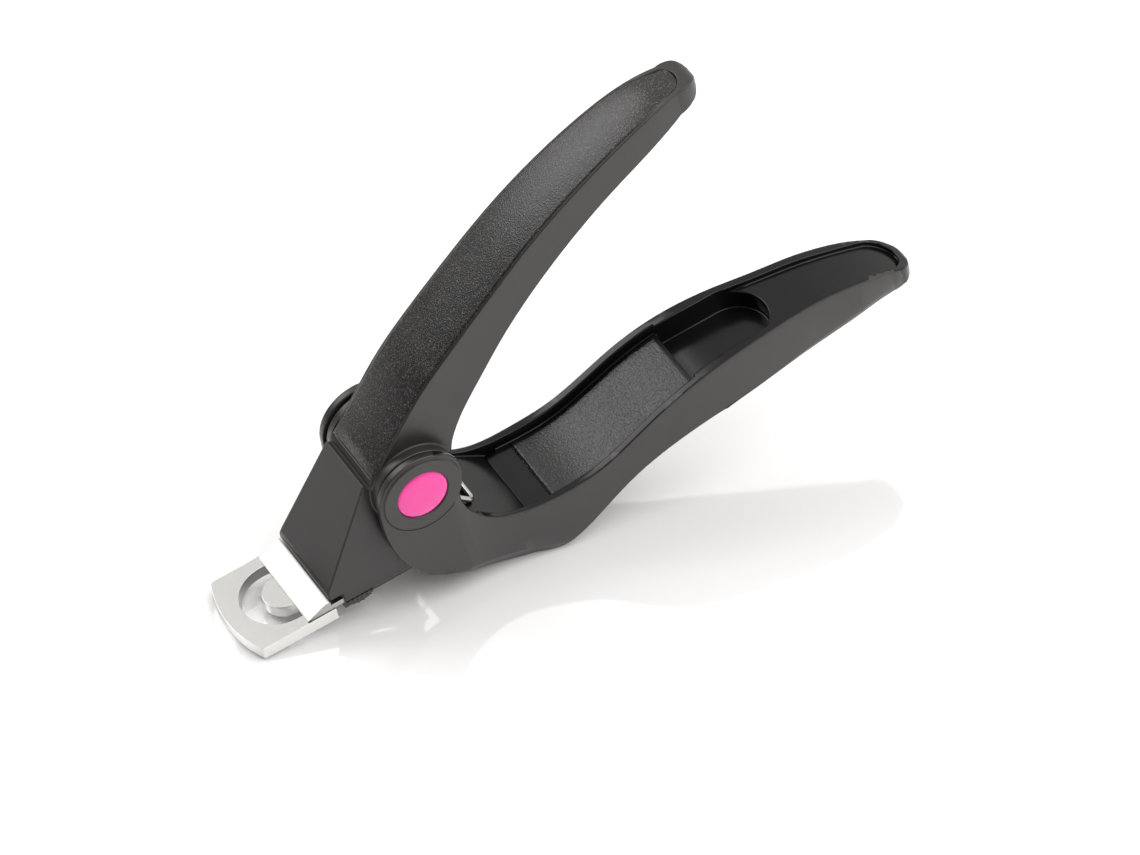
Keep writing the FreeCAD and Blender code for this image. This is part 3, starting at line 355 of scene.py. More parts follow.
@dataclass(frozen=True)
class AcetalWasher:
    """Dark acetal, punched from sheet: charcoal grey, waxy."""

    colour: str = "4a4647"
    roughness: float = 0.45
    spread: float = 0.08
    mottle_mm: float = 1.5

    def material(self) -> bpy.types.Material:
        """Builds the material."""
        return new_material("acetal_punched", self._nodes)

    def _nodes(self, tree: bpy.types.NodeTree, place: bpy.types.NodeSocket) -> bpy.types.Node:
        """Soft mottle in the gloss.

        Args:
            tree: The material's tree.
            place: Object coordinates.

        Returns:
            The shader.
        """
        mottle = add_node(tree, "ShaderNodeTexNoise", {
            "Vector": place, "Scale": per_metre(self.mottle_mm)})
        gloss = add_node(tree, "ShaderNodeMapRange", {
            "Value": mottle.outputs["Fac"],
            "To Min": self.roughness - self.spread, "To Max": self.roughness + self.spread})
        return add_node(tree, "ShaderNodeBsdfPrincipled", {
            "Base Color": linear(self.colour), "Roughness": gloss.outputs["Result"], "IOR": 1.48})


@dataclass
class Finishes:
    """All finishes of the tool, made once."""

    black: bpy.types.Material = field(default_factory=lambda: SatinMoulding().material())
    # polished finish of the trough; its darker colour is painted shade
    gloss: bpy.types.Material = field(default_factory=lambda: GlossMouldingPaintedShade().material())
    back_grain: bpy.types.Material = field(default_factory=lambda: GrainedMoulding().material())
    # the floor's coarse grain also carries painted glints on its highest grains
    floor_grain: bpy.types.Material = field(default_factory=lambda: GrainedMoulding(
        name="black_abs_coarse_grained", colour="0b0a0b", painted_glint="33302f", grain_mm=0.42,
        relief_mm=0.07, roughness=0.32, winding=1.4).material())
    pink: bpy.types.Material = field(default_factory=lambda: PinkMoulding().material())
    blade: bpy.types.Material = field(default_factory=lambda: GroundSteel(
        "stainless_blade_polished", colour="a2a2a0", roughness=0.32).material())
    plate: bpy.types.Material = field(default_factory=lambda: GroundSteel(
        "stainless_plate_ground", colour="cfcecb", roughness=0.2).material())
    pin: bpy.types.Material = field(default_factory=lambda: GroundSteel(
        "steel_pin_turned", colour="b5b3b0", roughness=0.28, run_mm=2.0).material())
    wire: bpy.types.Material = field(default_factory=lambda: GroundSteel(
        "spring_wire_drawn", colour="c4c2be", roughness=0.24, run_mm=3.0).material())
    washer: bpy.types.Material = field(default_factory=lambda: AcetalWasher().material())


# --- geometry helpers ---------------------------------------------------------------------------


@dataclass(frozen=True)
class PlateFrame:
    """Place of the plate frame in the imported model, taken from its two joints."""

    pivot: Vector
    back: Vector
    up: Vector
    pivot_x: float = 34.5
    pivot_z: float = 16.9

    @classmethod
    def from_joints(cls, joints: list[dict]) -> PlateFrame:
        """Reads the frame from the lever's hinge and the plate's slide.

        Args:
            joints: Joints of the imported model.

        Returns:
            The frame.
        """
        by_name = {joint["name"]: joint for joint in joints}
        back = Vector(by_name["plate_slide"]["axis"]).normalized()
        return cls(Vector(by_name["lever_pivot"]["pos_m"]), back, Vector((-back.z, 0.0, back.x)))

    def point(self, x: float, y: float, z: float) -> Vector:
        """Place in metres of a point given in the plate frame."""
        return (self.pivot + self.back * ((x - self.pivot_x) * MM) + Vector((0.0, y * MM, 0.0))
                + self.up * ((z - self.pivot_z) * MM))

    def local(self, place: Vector) -> Triple:
        """Plate frame millimetres of a place in metres."""
        reach = place - self.pivot
        return (reach.dot(self.back) / MM + self.pivot_x, reach.y / MM,
                reach.dot(self.up) / MM + self.pivot_z)

    @property
    def lean(self) -> float:
        """Turn about Y, in radians, that brings the upright onto the plate's normal."""
        return math.atan2(self.up.x, self.up.z)


def smooth_line(points: list[Station], steps: int) -> list[Station]:
    """Runs a smooth line through stations.

    Args:
        points: Stations of the line.
        steps: Points on each stretch between two stations.

    Returns:
        Points along the line, its stations among them.
    """
    line: list[Station] = []
    last = len(points) - 1
    for index in range(last):
        before, here = points[max(index - 1, 0)], points[index]
        there, after = points[index + 1], points[min(index + 2, last)]
        for step in range(steps):
            t = step / steps
            line.append(tuple(
                0.5 * (2 * b + (c - a) * t + (2 * a - 5 * b + 4 * c - d) * t * t
                       + (3 * b - a - 3 * c + d) * t ** 3)
                for a, b, c, d in zip(before, here, there, after)))
    line.append(points[last])
    return line


def value_at(line: list[Station], x: float) -> float:
    """Reads a line of rising stations, straight between them.

    Args:
        line: The stations.
        x: First number of the place that is asked for.

    Returns:
        Second number there, or the last station's past the line's end.
    """
    for (x0, v0), (x1, v1) in zip(line, line[1:]):
        if x <= x1:
            return v0 + (v1 - v0) * (x - x0) / (x1 - x0) if x1 > x0 else v0
    return line[-1][1]


def piece_from(name: str, verts: list[Vector], faces: list[tuple[int, ...]],
               material: bpy.types.Material) -> bpy.types.Object:
    """Makes a smooth shaded object with outward faces.

    Args:
        name: Name of the piece.
        verts: Places in metres.
        faces: Corners of each face.
        material: Its finish.

    Returns:
        The object, at the origin.
    """
    mesh = bpy.data.meshes.new(name)
    mesh.from_pydata([tuple(vert) for vert in verts], [], faces)
    shape = bmesh.new()
    shape.from_mesh(mesh)
    bmesh.ops.remove_doubles(shape, verts=shape.verts, dist=SAME_PLACE)
    bmesh.ops.recalc_face_normals(shape, faces=shape.faces)
    for face in shape.faces:
        face.smooth = True
    shape.to_mesh(mesh)
    shape.free()
    mesh.materials.append(material)
    piece = bpy.data.objects.new(name, mesh)
    bpy.context.scene.collection.objects.link(piece)
    return piece


def loft(name: str, rings: list[list[Vector]], material: bpy.types.Material) -> bpy.types.Object:
    """Skins closed rings of equal length and closes both ends.

    Args:
        name: Name of the piece.
        rings: The rings, in order.
        material: Its finish.

    Returns:
        The object.
    """
    count = len(rings[0])
    verts = [vert for ring in rings for vert in ring]
    faces: list[tuple[int, ...]] = []
    for row in range(len(rings) - 1):
        for at in range(count):
            nxt = (at + 1) % count
            faces.append((row * count + at, row * count + nxt, (row + 1) * count + nxt,
                          (row + 1) * count + at))
    faces.append(tuple(range(count)))
    start = (len(rings) - 1) * count
    faces.append(tuple(range(start, start + count)))
    return piece_from(name, verts, faces, material)


def even_normals(piece: bpy.types.Object) -> None:
    """Keeps flat faces flat beside rounded edges."""
    weighted = piece.modifiers.new("even_normals", "WEIGHTED_NORMAL")
    weighted.keep_sharp = True


def softened(node: bpy.types.Object, name: str, radius_mm: float, materials: list[bpy.types.Material],
             shape_it: Callable[[bmesh.types.BMesh], None] | None = None) -> bpy.types.Object:
    """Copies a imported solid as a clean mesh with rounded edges.

    Args:
        node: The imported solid.
        name: Name of the piece.
        radius_mm: Size of the rounding.
        materials: Its finish, and a second one for faces that shape_it marks.
        shape_it: Further shaping of the merged mesh, before its edges are rounded.

    Returns:
        The piece, which stands for the node.
    """
    mesh = node.data.copy()
    mesh.name = name
    shape = bmesh.new()
    shape.from_mesh(mesh)
    bmesh.ops.remove_doubles(shape, verts=shape.verts, dist=WELD_GAP)
    bmesh.ops.dissolve_limit(shape, angle_limit=FLAT_ANGLE, verts=shape.verts, edges=shape.edges)
    if shape_it:
        shape_it(shape)
    for face in shape.faces:
        face.smooth = True
    mesh.materials.clear()
    for finish in materials:
        mesh.materials.append(finish)
    shape.to_mesh(mesh)
    shape.free()
    piece = bpy.data.objects.new(name, mesh)
    bpy.context.scene.collection.objects.link(piece)
    rounding = piece.modifiers.new("rounded_edges", "BEVEL")
    rounding.width = radius_mm * MM
    rounding.segments = 2
    rounding.limit_method = "ANGLE"
    rounding.angle_limit = EDGE_ANGLE
    rounding.use_clamp_overlap = False
    even_normals(piece)
    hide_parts(node.name)
    return piece


def hand_in(piece: bpy.types.Object, body: Body) -> None:
    """Lets a finished piece ride on its body and reports it.

    Args:
        piece: The piece.
        body: What it moves with.
    """
    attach(piece, body.value)
    log.info("%s rides on %s, %d faces", piece.name, body.value, len(piece.data.polygons))


def dress(node: bpy.types.Object, material: bpy.types.Material) -> None:
    """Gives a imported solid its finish.

    Args:
        node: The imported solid.
        material: Its finish.
    """
    if not node.material_slots:
        node.data.materials.append(None)
    for slot in node.material_slots:
        slot.material = material
    log.info("%s keeps its packed shape", node.name)


def node_tree(name: str, sizes: list[tuple[str, str]]
              ) -> tuple[bpy.types.NodeTree, dict[str, str]]:
    """Starts a Geometry Nodes tree with a mesh in, a mesh out and named sizes.

    Args:
        name: Name of the tree.
        sizes: Name and socket type of each size.

    Returns:
        The tree and the identifier of each size's socket.
    """
    tree = bpy.data.node_groups.new(name, "GeometryNodeTree")
    tree.interface.new_socket("Geometry", in_out="INPUT", socket_type="NodeSocketGeometry")
    sockets = {label: tree.interface.new_socket(label, in_out="INPUT", socket_type=kind).identifier
               for label, kind in sizes}
    tree.interface.new_socket("Geometry", in_out="OUTPUT", socket_type="NodeSocketGeometry")
    return tree, sockets


def close_tree(tree: bpy.types.NodeTree, geometry: bpy.types.NodeSocket,
               material: bpy.types.Material) -> None:
    """Ends a tree in Realize Instances and Set Material.

    Args:
        tree: The tree.
        geometry: What has been built.
        material: Its finish.
    """
    real = add_node(tree, "GeometryNodeRealizeInstances", {0: geometry})
    smooth = add_node(tree, "GeometryNodeSetShadeSmooth", {0: real.outputs[0]})
    dressed = add_node(tree, "GeometryNodeSetMaterial", {
        0: smooth.outputs[0], "Material": material})
    add_node(tree, "NodeGroupOutput", {0: dressed.outputs[0]})


def grown(name: str, points: list[Vector], lengths: list[float], tree: bpy.types.NodeTree,
          values: dict[str, object]) -> bpy.types.Object:
    """Runs a tree on points and keeps the result as a plain mesh.

    Args:
        name: Name of the piece.
        points: Points in metres.
        lengths: Length in metres of what stands on each point.
        tree: The tree.
        values: Value of each size, by socket identifier.

    Returns:
        The piece, without its modifier.
    """
    seed = bpy.data.meshes.new(name)
    seed.from_pydata([tuple(point) for point in points], [], [])
    seed.attributes.new("length", "FLOAT", "POINT").data.foreach_set("value", lengths)
    piece = bpy.data.objects.new(name, seed)
    bpy.context.scene.collection.objects.link(piece)
    modifier = piece.modifiers.new("grown", "NODES")
    modifier.node_group = tree
    for identifier, value in values.items():
        modifier[identifier] = value
    graph = bpy.context.evaluated_depsgraph_get()
    mesh = bpy.data.meshes.new_from_object(
        piece.evaluated_get(graph), preserve_all_data_layers=True, depsgraph=graph)
    piece.modifiers.remove(modifier)
    piece.data = mesh
    return piece


# --- sub-assemblies -----------------------------------------------------------------------------


@dataclass
class UpperHandle:
    """The black moulding that carries the blade, with its crowned grained back.

    Each station is a share of the handle's reach behind the pivot, with a height or a half width.
    """

    plate: PlateFrame
    nodes: dict[str, bpy.types.Object]
    finishes: Finishes
    reach: float = 69.5
    edge: float = 0.3
    crown: float = 0.5
    margin: float = 0.4
    end_margin: float = 1.15
    end_from: float = 90.0
    end_setback: float = 2.0
    end_blunt: float = 0.02  # least square of a rounded ring's share of the width
    front_fade: int = 8  # rings
    end_fade: float = 6.0
    proud: float = 0.04
    depth: float = 0.74
    half_steps: int = 6
    ridge_steps: int = 14
    across_steps: int = 22
    ridge_stations: tuple[Station, ...] = (
        (-0.096, 21.6), (-0.047, 25.3), (0.075, 34.5), (0.178, 40.4), (0.308, 47.1), (0.446, 53.7),
        (0.58, 58.9), (0.721, 63.2), (0.843, 65.9), (0.963, 67.0))
    half_stations: tuple[Station, ...] = (
        (-0.13, 7.3), (0.075, 7.15), (0.308, 6.9), (0.446, 6.6), (0.58, 6.25), (0.721, 5.75),
        (0.843, 5.0), (0.93, 3.9))

    def _along(self, stations: tuple[Station, ...]) -> list[Station]:
        """Stations with their distance back in millimetres."""
        return [(self.plate.pivot_x + share * self.reach, other) for share, other in stations]

    def build(self) -> None:
        """Makes the moulding and its inlay."""
        moulding = softened(self.nodes["front_handle"], "upper_handle_moulding", self.edge,
                            [self.finishes.black])
        hand_in(moulding, Body.HEAD)
        hand_in(self._inlay(), Body.HEAD)

    def _inlay(self) -> bpy.types.Object:
        """Lofts the crowned inlay along the back.

        Returns:
            The piece.
        """
        halves = smooth_line(self._along(self.half_stations), self.half_steps)
        ridge = smooth_line(self._along(self.ridge_stations), self.ridge_steps)
        round_from = halves[-1][0]
        round_to = self.plate.pivot_x + self.reach - self.end_setback - self.end_margin
        ridge = [place for place in ridge if place[0] < round_to - 0.01]
        rings = []
        for index, (x, z) in enumerate(ridge):
            ahead, behind = ridge[min(index + 1, len(ridge) - 1)], ridge[max(index - 1, 0)]
            run = math.hypot(ahead[0] - behind[0], ahead[1] - behind[1])
            normal = (-(ahead[1] - behind[1]) / run, (ahead[0] - behind[0]) / run)
            narrowing = min(max((x - self.end_from) / (round_from - self.end_from), 0.0), 1.0)
            half = (value_at(halves, x) - self.margin
                    - (self.end_margin - self.margin) * narrowing ** 2)
            if x > round_from:
                share = (x - round_from) / (round_to - round_from)
                half *= math.sqrt(max(1 - share ** 2, self.end_blunt))
            fade = min(1.0, index / self.front_fade, (round_to - x) / self.end_fade)
            rings.append(self._section(x, z, normal, half, self.crown * max(fade, 0.0)))
        piece = loft("grained_back", rings, self.finishes.back_grain)
        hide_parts("front_grip_panel")
        even_normals(piece)
        return piece

    def _section(self, x: float, z: float, normal: Station, half: float, crown: float
                 ) -> list[Vector]:
        """One closed ring of the inlay.

        Args:
            x: Distance back of its place on the ridge.
            z: Height of that place.
            normal: Direction out of the back, in side view.
            half: Half width.
            crown: Rise of its middle.

        Returns:
            Places round the ring.
        """
        ring = []
        for step in range(self.across_steps + 1):
            share = -1 + 2 * step / self.across_steps
            rise = self.proud + crown * (1 - share ** 2)
            ring.append(self.plate.point(x + normal[0] * rise, share * half, z + normal[1] * rise))
        for share in (1.0, 0.0, -1.0):
            ring.append(self.plate.point(x - normal[0] * self.depth, share * half,
                                         z - normal[1] * self.depth))
        return ring


@dataclass
class LowerHandle:
    """The lever: ears with bosses, belly, trough and the grained floor inside it.

    Each station is a share of the handle's reach behind the pivot, with a height or a half width.
    """

    plate: PlateFrame
    nodes: dict[str, bpy.types.Object]
    finishes: Finishes
    reach: float = 98.5
    edge: float = 0.3
    wall: float = 1.6
    groove: float = 0.4
    floor_drop: float = 2.0
    floor_rise: float = 0.14
    slope_rise: float = 0.06
    step_back: float = 20.5  # from the pivot to the floor's low step
    skirt: float = 1.2  # depth of a field's sides
    field_rows: int = 40
    field_across: int = 16
    slope_front: float = 52.6
    floor_front: float = 57.5
    floor_rear: float = 87.7
    rim_stations: tuple[Station, ...] = (
        (0.093, 3.9), (0.16, -1.0), (0.256, -2.1), (0.323, -1.5), (0.393, 0.8), (0.465, 3.6),
        (0.535, 5.4), (0.605, 6.2), (0.743, 5.9), (0.81, 5.4), (0.874, 4.1), (0.938, 2.0),
        (0.989, -0.9))
    half_stations: tuple[Station, ...] = (
        (0.096, 10.0), (0.256, 9.8), (0.39, 9.5), (0.465, 9.3), (0.535, 9.0), (0.605, 8.5),
        (0.675, 7.75), (0.743, 6.85), (0.81, 6.3), (0.878, 5.8), (0.95, 4.8))
    rim_steps: int = 10
    wall_steps: int = 6
    field_steps: int = 8
    ear_edge: Station = (39.0, 11.0)  # rear end of the ears and their half width
    trough_front: float = 38.5
    trough_inset: float = 0.45  # from the outer wall's face to the polished inside
    trough_lean: float = -0.2  # faces that look down more than this stay satin
    # Facets of the outer wall: the line that each starts below, in side view, and its slope.
    facets: tuple[tuple[Station, Station, float], ...] = (
        ((34.8, -4.4), (59.5, -14.2), 0.62), ((82.0, -5.3), (132.0, -1.3), 0.5))
    facet_skin: float = 0.75  # thickness of the outer wall that leans in
    facet_most: float = 2.0
    facet_front_fade: float = 3.0
    facet_rear_fade: float = 7.0

    def _along(self, stations: tuple[Station, ...]) -> list[Station]:
        """Stations with their distance back in millimetres."""
        return [(self.plate.pivot_x + share * self.reach, other) for share, other in stations]

    def build(self) -> None:
        """Makes the moulding and the two fields of its floor."""
        moulding = softened(self.nodes["lower_handle"], "lower_handle_moulding", self.edge,
                            [self.finishes.black, self.finishes.gloss], shape_it=self._shape)
        hand_in(moulding, Body.LEVER)
        grained = self._floor_field("grained_floor", self.floor_front, self.floor_rear,
                                    self.floor_rise, self.finishes.floor_grain)
        hand_in(grained, Body.LEVER)
        # the smooth field takes the polished finish, whose darker colour is painted shade
        smooth = self._floor_field("smooth_floor", self.slope_front, self.floor_front,
                                   self.slope_rise, self.finishes.gloss)
        hand_in(smooth, Body.LEVER)

    def _outer_wall(self) -> list[Station]:
        """Half width of the outer wall, from the ears back."""
        return [self.ear_edge, *smooth_line(self._along(self.half_stations), self.wall_steps)]

    def _shape(self, shape: bmesh.types.BMesh) -> None:
        """Cuts the facets and marks the polished trough, whose darker finish is painted shade.

        Args:
            shape: The merged moulding.
        """
        self._cut_facets(shape)
        shape.normal_update()
        wall = self._outer_wall()
        for face in shape.faces:
            x, y, _ = self.plate.local(face.calc_center_median())
            inside = x > self.trough_front and abs(y) < value_at(wall, x) - self.trough_inset
            if inside and face.normal.dot(self.plate.up) > self.trough_lean:
                # the trough's inside gets the polished finish: real gloss, with a darker colour that
                # is painted shade
                face.material_index = 1

    def _cut_facets(self, shape: bmesh.types.BMesh) -> None:
        """Leans the outer walls in below each facet's line.

        Args:
            shape: The merged moulding.
        """
        wall = self._outer_wall()
        ear_x, ear_half = self.ear_edge
        for (x0, z0), (x1, z1), slope in self.facets:
            start = self.plate.point(x0, 0.0, z0)
            run = self.plate.point(x1, 0.0, z1) - start
            down = Vector((0.0, 1.0, 0.0)).cross(run).normalized()
            if down.dot(self.plate.up) > 0:
                down = -down
            bmesh.ops.bisect_plane(shape, geom=[*shape.verts, *shape.edges, *shape.faces],
                                   plane_co=start, plane_no=down, dist=1e-6)
            for vert in shape.verts:
                x, y, _ = self.plate.local(vert.co)
                below = (vert.co - start).dot(down) / MM
                outer = ear_half if x < ear_x else value_at(wall, x)
                if below > 0 and x0 < x < x1 and abs(y) > outer - self.facet_skin:
                    fade = min(1.0, (x - x0) / self.facet_front_fade,
                               (x1 - x) / self.facet_rear_fade)
                    lean = min(below * slope, self.facet_most) * fade * MM
                    vert.co.y -= math.copysign(lean, y)

    def _floor_field(self, name: str, front: float, rear: float, rise: float,
                     material: bpy.types.Material) -> bpy.types.Object:
        """Lofts a slightly raised field on the trough's floor.

        Args:
            name: Name of the piece.
            front: Front end.
            rear: Rear end.
            rise: Height over the moulded floor.
            material: Its finish.

        Returns:
            The piece.
        """
        rim = smooth_line(self._along(self.rim_stations), self.rim_steps)
        halves = smooth_line(self._along(self.half_stations), self.field_steps)
        step_x = self.plate.pivot_x + self.step_back
        rings = []
        for row in range(self.field_rows + 1):
            x = front + (rear - front) * row / self.field_rows
            half = value_at(halves, x) - self.wall - self.groove
            z = value_at(rim, max(x, step_x)) - self.floor_drop
            ring = []
            for step in range(self.field_across + 1):
                share = -1 + 2 * step / self.field_across
                ring.append(self.plate.point(x, share * half, z + rise))
            ring += [self.plate.point(x, side * half, z - self.skirt) for side in (1, -1)]
            rings.append(ring)
        piece = loft(name, rings, material)
        even_normals(piece)
        return piece


def rib_tree(name: str, material: bpy.types.Material) -> tuple[bpy.types.NodeTree, dict[str, str]]:
    """Tree that stands a round rib on each point, as long as the point's length says.

    Args:
        name: Name of the tree.
        material: Finish of the ribs.

    Returns:
        The tree and the identifier of each size's socket.
    """
    tree, sockets = node_tree(name, [
        ("Rib Radius", "NodeSocketFloat"), ("Lean", "NodeSocketVector")])
    given = add_node(tree, "NodeGroupInput")
    rib = add_node(tree, "GeometryNodeMeshUVSphere", {
        "Segments": 12, "Rings": 8, "Radius": given.outputs["Rib Radius"]})
    length = add_node(tree, "GeometryNodeInputNamedAttribute", {"Name": "length"},
                      data_type="FLOAT")
    across = add_node(tree, "ShaderNodeMath", {0: given.outputs["Rib Radius"], 1: 2.0},
                      operation="MULTIPLY")
    stretch = add_node(tree, "ShaderNodeMath", {0: length.outputs[0], 1: across.outputs[0]},
                       operation="DIVIDE")
    scale = add_node(tree, "ShaderNodeCombineXYZ", {"X": 1.0, "Y": 1.0, "Z": stretch.outputs[0]})
    row = add_node(tree, "GeometryNodeInstanceOnPoints", {
        "Points": given.outputs["Geometry"], "Instance": rib.outputs["Mesh"],
        "Rotation": given.outputs["Lean"], "Scale": scale.outputs[0]})
    close_tree(tree, row.outputs[0], material)
    return tree, sockets


@dataclass
class CuttingEnd:
    """Blade, die plate, its runner and the small hardware that holds them."""

    plate: PlateFrame
    nodes: dict[str, bpy.types.Object]
    finishes: Finishes
    steel_edge: float = 0.09
    cheek_front: float = 16.7
    cheek_rear: float = 21.9
    cheek_half: float = 9.2
    rib_radius: float = 0.3
    rib_count: int = 6
    rib_least: float = 0.45  # length of the first and last rib
    rib_swell: float = 1.0  # what the middle of the row is longer by
    rib_top: float = -0.2
    rib_sink: float = 0.08

    def build(self) -> None:
        """Makes the steel parts and the ribbed runner."""
        blade = softened(self.nodes["blade"], "straight_blade", self.steel_edge,
                         [self.finishes.blade])
        hand_in(blade, Body.HEAD)
        die = softened(self.nodes["die_plate"], "nail_plate", self.steel_edge,
                       [self.finishes.plate])
        hand_in(die, Body.SLIDE)
        hand_in(self._cheek_ribs(), Body.SLIDE)
        dress(self.nodes["slide_shoe"], self.finishes.black)
        dress(self.nodes["slide_yoke"], self.finishes.plate)
        for name in ("blade_rivet_left", "blade_rivet_right", "guide_bush", "guide_screw",
                     "yoke_rivet_left", "yoke_rivet_right"):
            dress(self.nodes[name], self.finishes.pin)

    def _cheek_ribs(self) -> bpy.types.Object:
        """Stands the grip ribs on both cheeks of the runner.

        Returns:
            The piece.
        """
        tree, sockets = rib_tree("cheek_rib_row", self.finishes.black)
        middle = (self.cheek_front + self.cheek_rear) / 2
        half_run = (self.cheek_rear - self.cheek_front) / 2
        places, lengths = [], []
        for side in (-1, 1):
            for index in range(self.rib_count):
                share = -1 + 2 * index / (self.rib_count - 1)
                x = middle + share * (half_run - self.rib_radius)
                deep = self.rib_least + self.rib_swell * (1 - share ** 2)
                places.append(self.plate.point(x, side * (self.cheek_half - self.rib_sink),
                                               self.rib_top - deep / 2))
                lengths.append(deep * MM)
        return grown("cheek_ribs", places, lengths, tree, {
            sockets["Rib Radius"]: self.rib_radius * MM,
            sockets["Lean"]: (0.0, self.plate.lean, 0.0)})


@dataclass
class Pivot:
    """Pivot pin with its caps and washers, and the spring's finish."""

    plate: PlateFrame
    nodes: dict[str, bpy.types.Object]
    finishes: Finishes
    cap_radius: float = 4.8
    cap_foot: float = 10.65
    cap_shoulder: float = 10.95
    cap_top: float = 11.52
    cap_chamfer: Station = (0.02, 0.05)
    cap_centre: float = 0.02
    dome_steps: int = 14
    dome_fullness: float = 0.7
    cap_around: int = 64

    def build(self) -> None:
        """Makes the caps and dresses the rest."""
        for name, side in (("left", 1), ("right", -1)):
            hand_in(self._cap(name, side), Body.LEVER)
            dress(self.nodes[f"pivot_washer_{name}"], self.finishes.washer)
        for name in ("pivot_pin", "retaining_ring", "drive_pin"):
            dress(self.nodes[name], self.finishes.pin)
        dress(self.nodes["spring_sleeve"], self.finishes.black)
        dress(self.nodes["torsion_spring"], self.finishes.wire)

    def _cap(self, name: str, side: int) -> bpy.types.Object:
        """Turns one domed cap.

        Args:
            name: Side that it is on.
            side: One for the left, minus one for the right.

        Returns:
            The piece.
        """
        inset, lift = self.cap_chamfer
        profile = [(self.cap_radius - inset, self.cap_foot), (self.cap_radius, self.cap_foot + lift)]
        for step in range(self.dome_steps + 1):
            turn = math.radians(90 * step / self.dome_steps)
            rise = (self.cap_top - self.cap_shoulder) * math.sin(turn)
            flat = math.cos(turn) ** self.dome_fullness if step < self.dome_steps else 0.0
            radius = max(self.cap_radius * flat, self.cap_centre)
            profile.append((radius, self.cap_shoulder + rise))
        rings = []
        for radius, out in profile:
            ring = []
            for at in range(self.cap_around):
                turn = 2 * math.pi * at / self.cap_around
                ring.append(self.plate.point(self.plate.pivot_x + radius * math.cos(turn), side * out,
                                             self.plate.pivot_z + radius * math.sin(turn)))
            rings.append(ring)
        piece = loft(f"pink_cap_{name}", rings, self.finishes.pink)
        even_normals(piece)
        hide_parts(f"pivot_cap_{name}")
        return piece


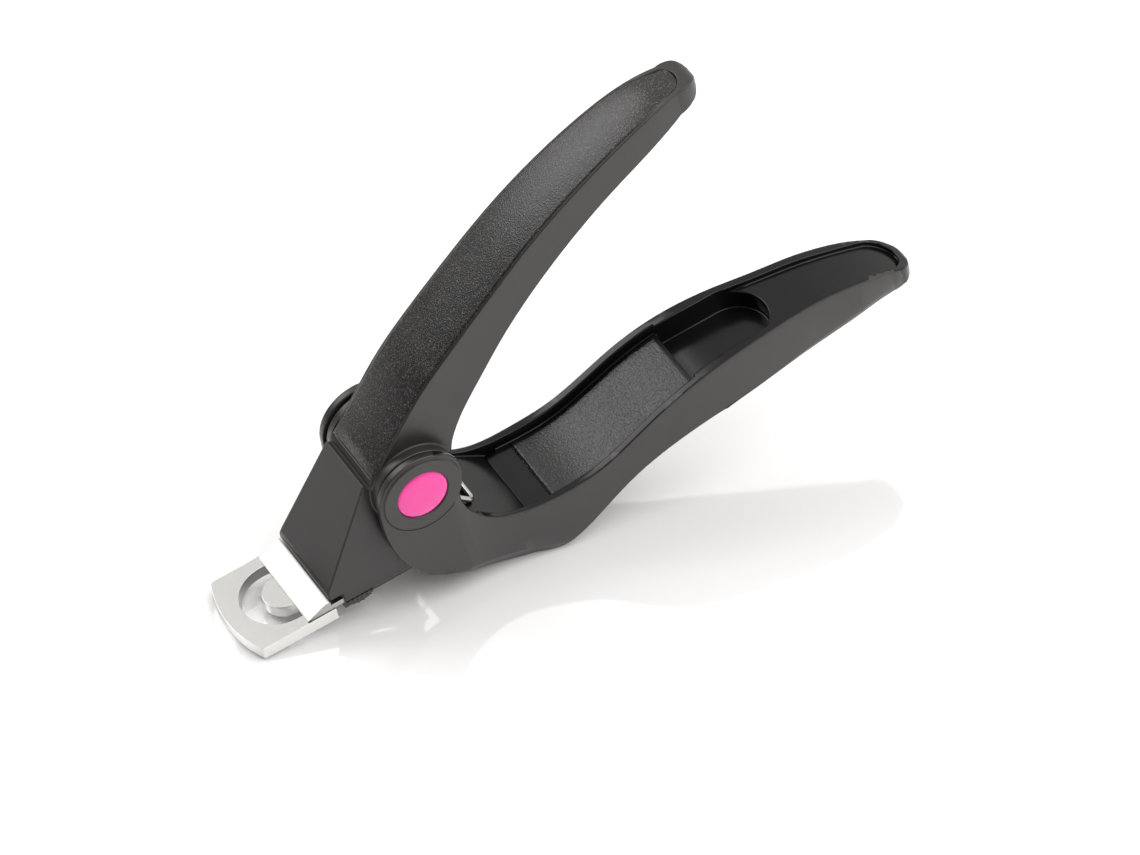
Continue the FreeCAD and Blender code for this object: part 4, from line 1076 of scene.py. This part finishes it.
@dataclass
class Studio:
    """Pale floor, soft light all round and the camera. Only the two aims are in the plate frame."""

    plate: PlateFrame
    aim: Triple = (66.4, 0.0, 1.0)
    sight: Triple = (0.3546, 0.644, -0.678)
    distance: float = 2.4
    sensor_mm: float = 36.0
    lens_share: float = 0.18475
    glow_axis: Triple = (0.7, 0.0, 0.7)
    glow_reach: Station = (-0.35, 0.75)
    glow_levels: Station = (0.05, 1.05)
    broad_power: float = 1.6
    broad_spread: float = 70.0
    broad_run: Triple = (-0.35, 0.45, -0.82)
    box_power: float = 6.5
    box_side: float = 0.75
    box_place: Triple = (-0.55, 0.75, 0.78)
    box_aim: Triple = (60.0, 0.0, 20.0)
    table_half: float = 4.0
    table_skin_mm: float = 30.0

    def build(self) -> None:
        """Sets up camera, world, lights and floor."""
        self._camera()
        self._world()
        self._lights()
        self._floor()

    def _camera(self) -> None:
        """Long lens on the cutter from the front right and above."""
        sight = Vector(self.sight).normalized()
        data = bpy.data.cameras.new("camera")
        data.sensor_width = self.sensor_mm
        data.lens = self.lens_share * self.distance * 1000
        camera = bpy.data.objects.new("camera", data)
        camera.location = self.plate.point(*self.aim) - sight * self.distance
        camera.rotation_euler = sight.to_track_quat("-Z", "Y").to_euler()
        bpy.context.scene.collection.objects.link(camera)
        bpy.context.scene.camera = camera
        bpy.context.scene.view_settings.view_transform = "Standard"

    def _world(self) -> None:
        """Soft white surround, brightest high behind the handles, dark below the plate's front."""
        world = bpy.data.worlds.new("soft_white_surround")
        world.use_nodes = True
        tree = world.node_tree
        tree.nodes.clear()
        around = add_node(tree, "ShaderNodeTexCoord").outputs["Generated"]
        slant = add_node(tree, "ShaderNodeVectorMath", {0: around, 1: self.glow_axis},
                         operation="DOT_PRODUCT")
        level = add_node(tree, "ShaderNodeMapRange", {
            "Value": slant.outputs["Value"],
            "From Min": self.glow_reach[0], "From Max": self.glow_reach[1],
            "To Min": self.glow_levels[0], "To Max": self.glow_levels[1]})
        light = add_node(tree, "ShaderNodeBackground", {
            "Color": linear("fffdfb"), "Strength": level.outputs["Result"]})
        add_node(tree, "ShaderNodeOutputWorld", {"Surface": light.outputs[0]})
        bpy.context.scene.world = world

    def _lights(self) -> None:
        """Broad sun from the camera's right, and a soft box high behind on its left."""
        broad = self._lamp("broad_light", "SUN", self.broad_power, Vector(self.broad_run))
        broad.data.angle = math.radians(self.broad_spread)
        box_run = self.plate.point(*self.box_aim) - Vector(self.box_place)
        box = self._lamp("back_box", "AREA", self.box_power, box_run)
        box.data.size = self.box_side
        box.location = self.box_place

    def _lamp(self, name: str, kind: str, power: float, run: Vector) -> bpy.types.Object:
        """Adds one lamp.

        Args:
            name: Name of the lamp.
            kind: Blender's type name of the light.
            power: Its energy.
            run: Direction that its light runs in.

        Returns:
            The lamp, still at the origin.
        """
        data = bpy.data.lights.new(name, kind)
        data.energy = power
        lamp = bpy.data.objects.new(name, data)
        lamp.rotation_euler = run.to_track_quat("-Z", "Y").to_euler()
        bpy.context.scene.collection.objects.link(lamp)
        return lamp

    def _floor(self) -> None:
        """White gloss table that mirrors the tool faintly."""
        half = self.table_half
        mesh = bpy.data.meshes.new("floor")
        mesh.from_pydata([(-half, -half, 0), (half, -half, 0), (half, half, 0), (-half, half, 0)],
                         [], [(0, 1, 2, 3)])
        mesh.materials.append(new_material("white_gloss_table", self._table_nodes))
        table = bpy.data.objects.new("floor", mesh)
        bpy.context.scene.collection.objects.link(table)

    def _table_nodes(self, tree: bpy.types.NodeTree, place: bpy.types.NodeSocket
                     ) -> bpy.types.Node:
        """Painted board under gloss, with a barely uneven skin.

        Args:
            tree: The material's tree.
            place: Object coordinates.

        Returns:
            The shader.
        """
        skin = add_node(tree, "ShaderNodeTexNoise", {
            "Vector": place, "Scale": per_metre(self.table_skin_mm)})
        gloss = add_node(tree, "ShaderNodeMapRange", {
            "Value": skin.outputs["Fac"], "To Min": 0.05, "To Max": 0.09})
        return add_node(tree, "ShaderNodeBsdfPrincipled", {
            "Base Color": linear("f8f8f8"), "Roughness": gloss.outputs["Result"], "IOR": 2.3})


def main() -> None:
    """Builds the studio and the tool."""
    logging.basicConfig(level=logging.INFO, format="%(name)s: %(message)s")
    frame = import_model()
    plate = PlateFrame.from_joints(frame["joints"])
    nodes = frame["nodes"]
    finishes = Finishes()
    Studio(plate).build()
    for part in (UpperHandle, LowerHandle, CuttingEnd, Pivot):
        part(plate, nodes, finishes).build()


if __name__ == "__main__":
    main()
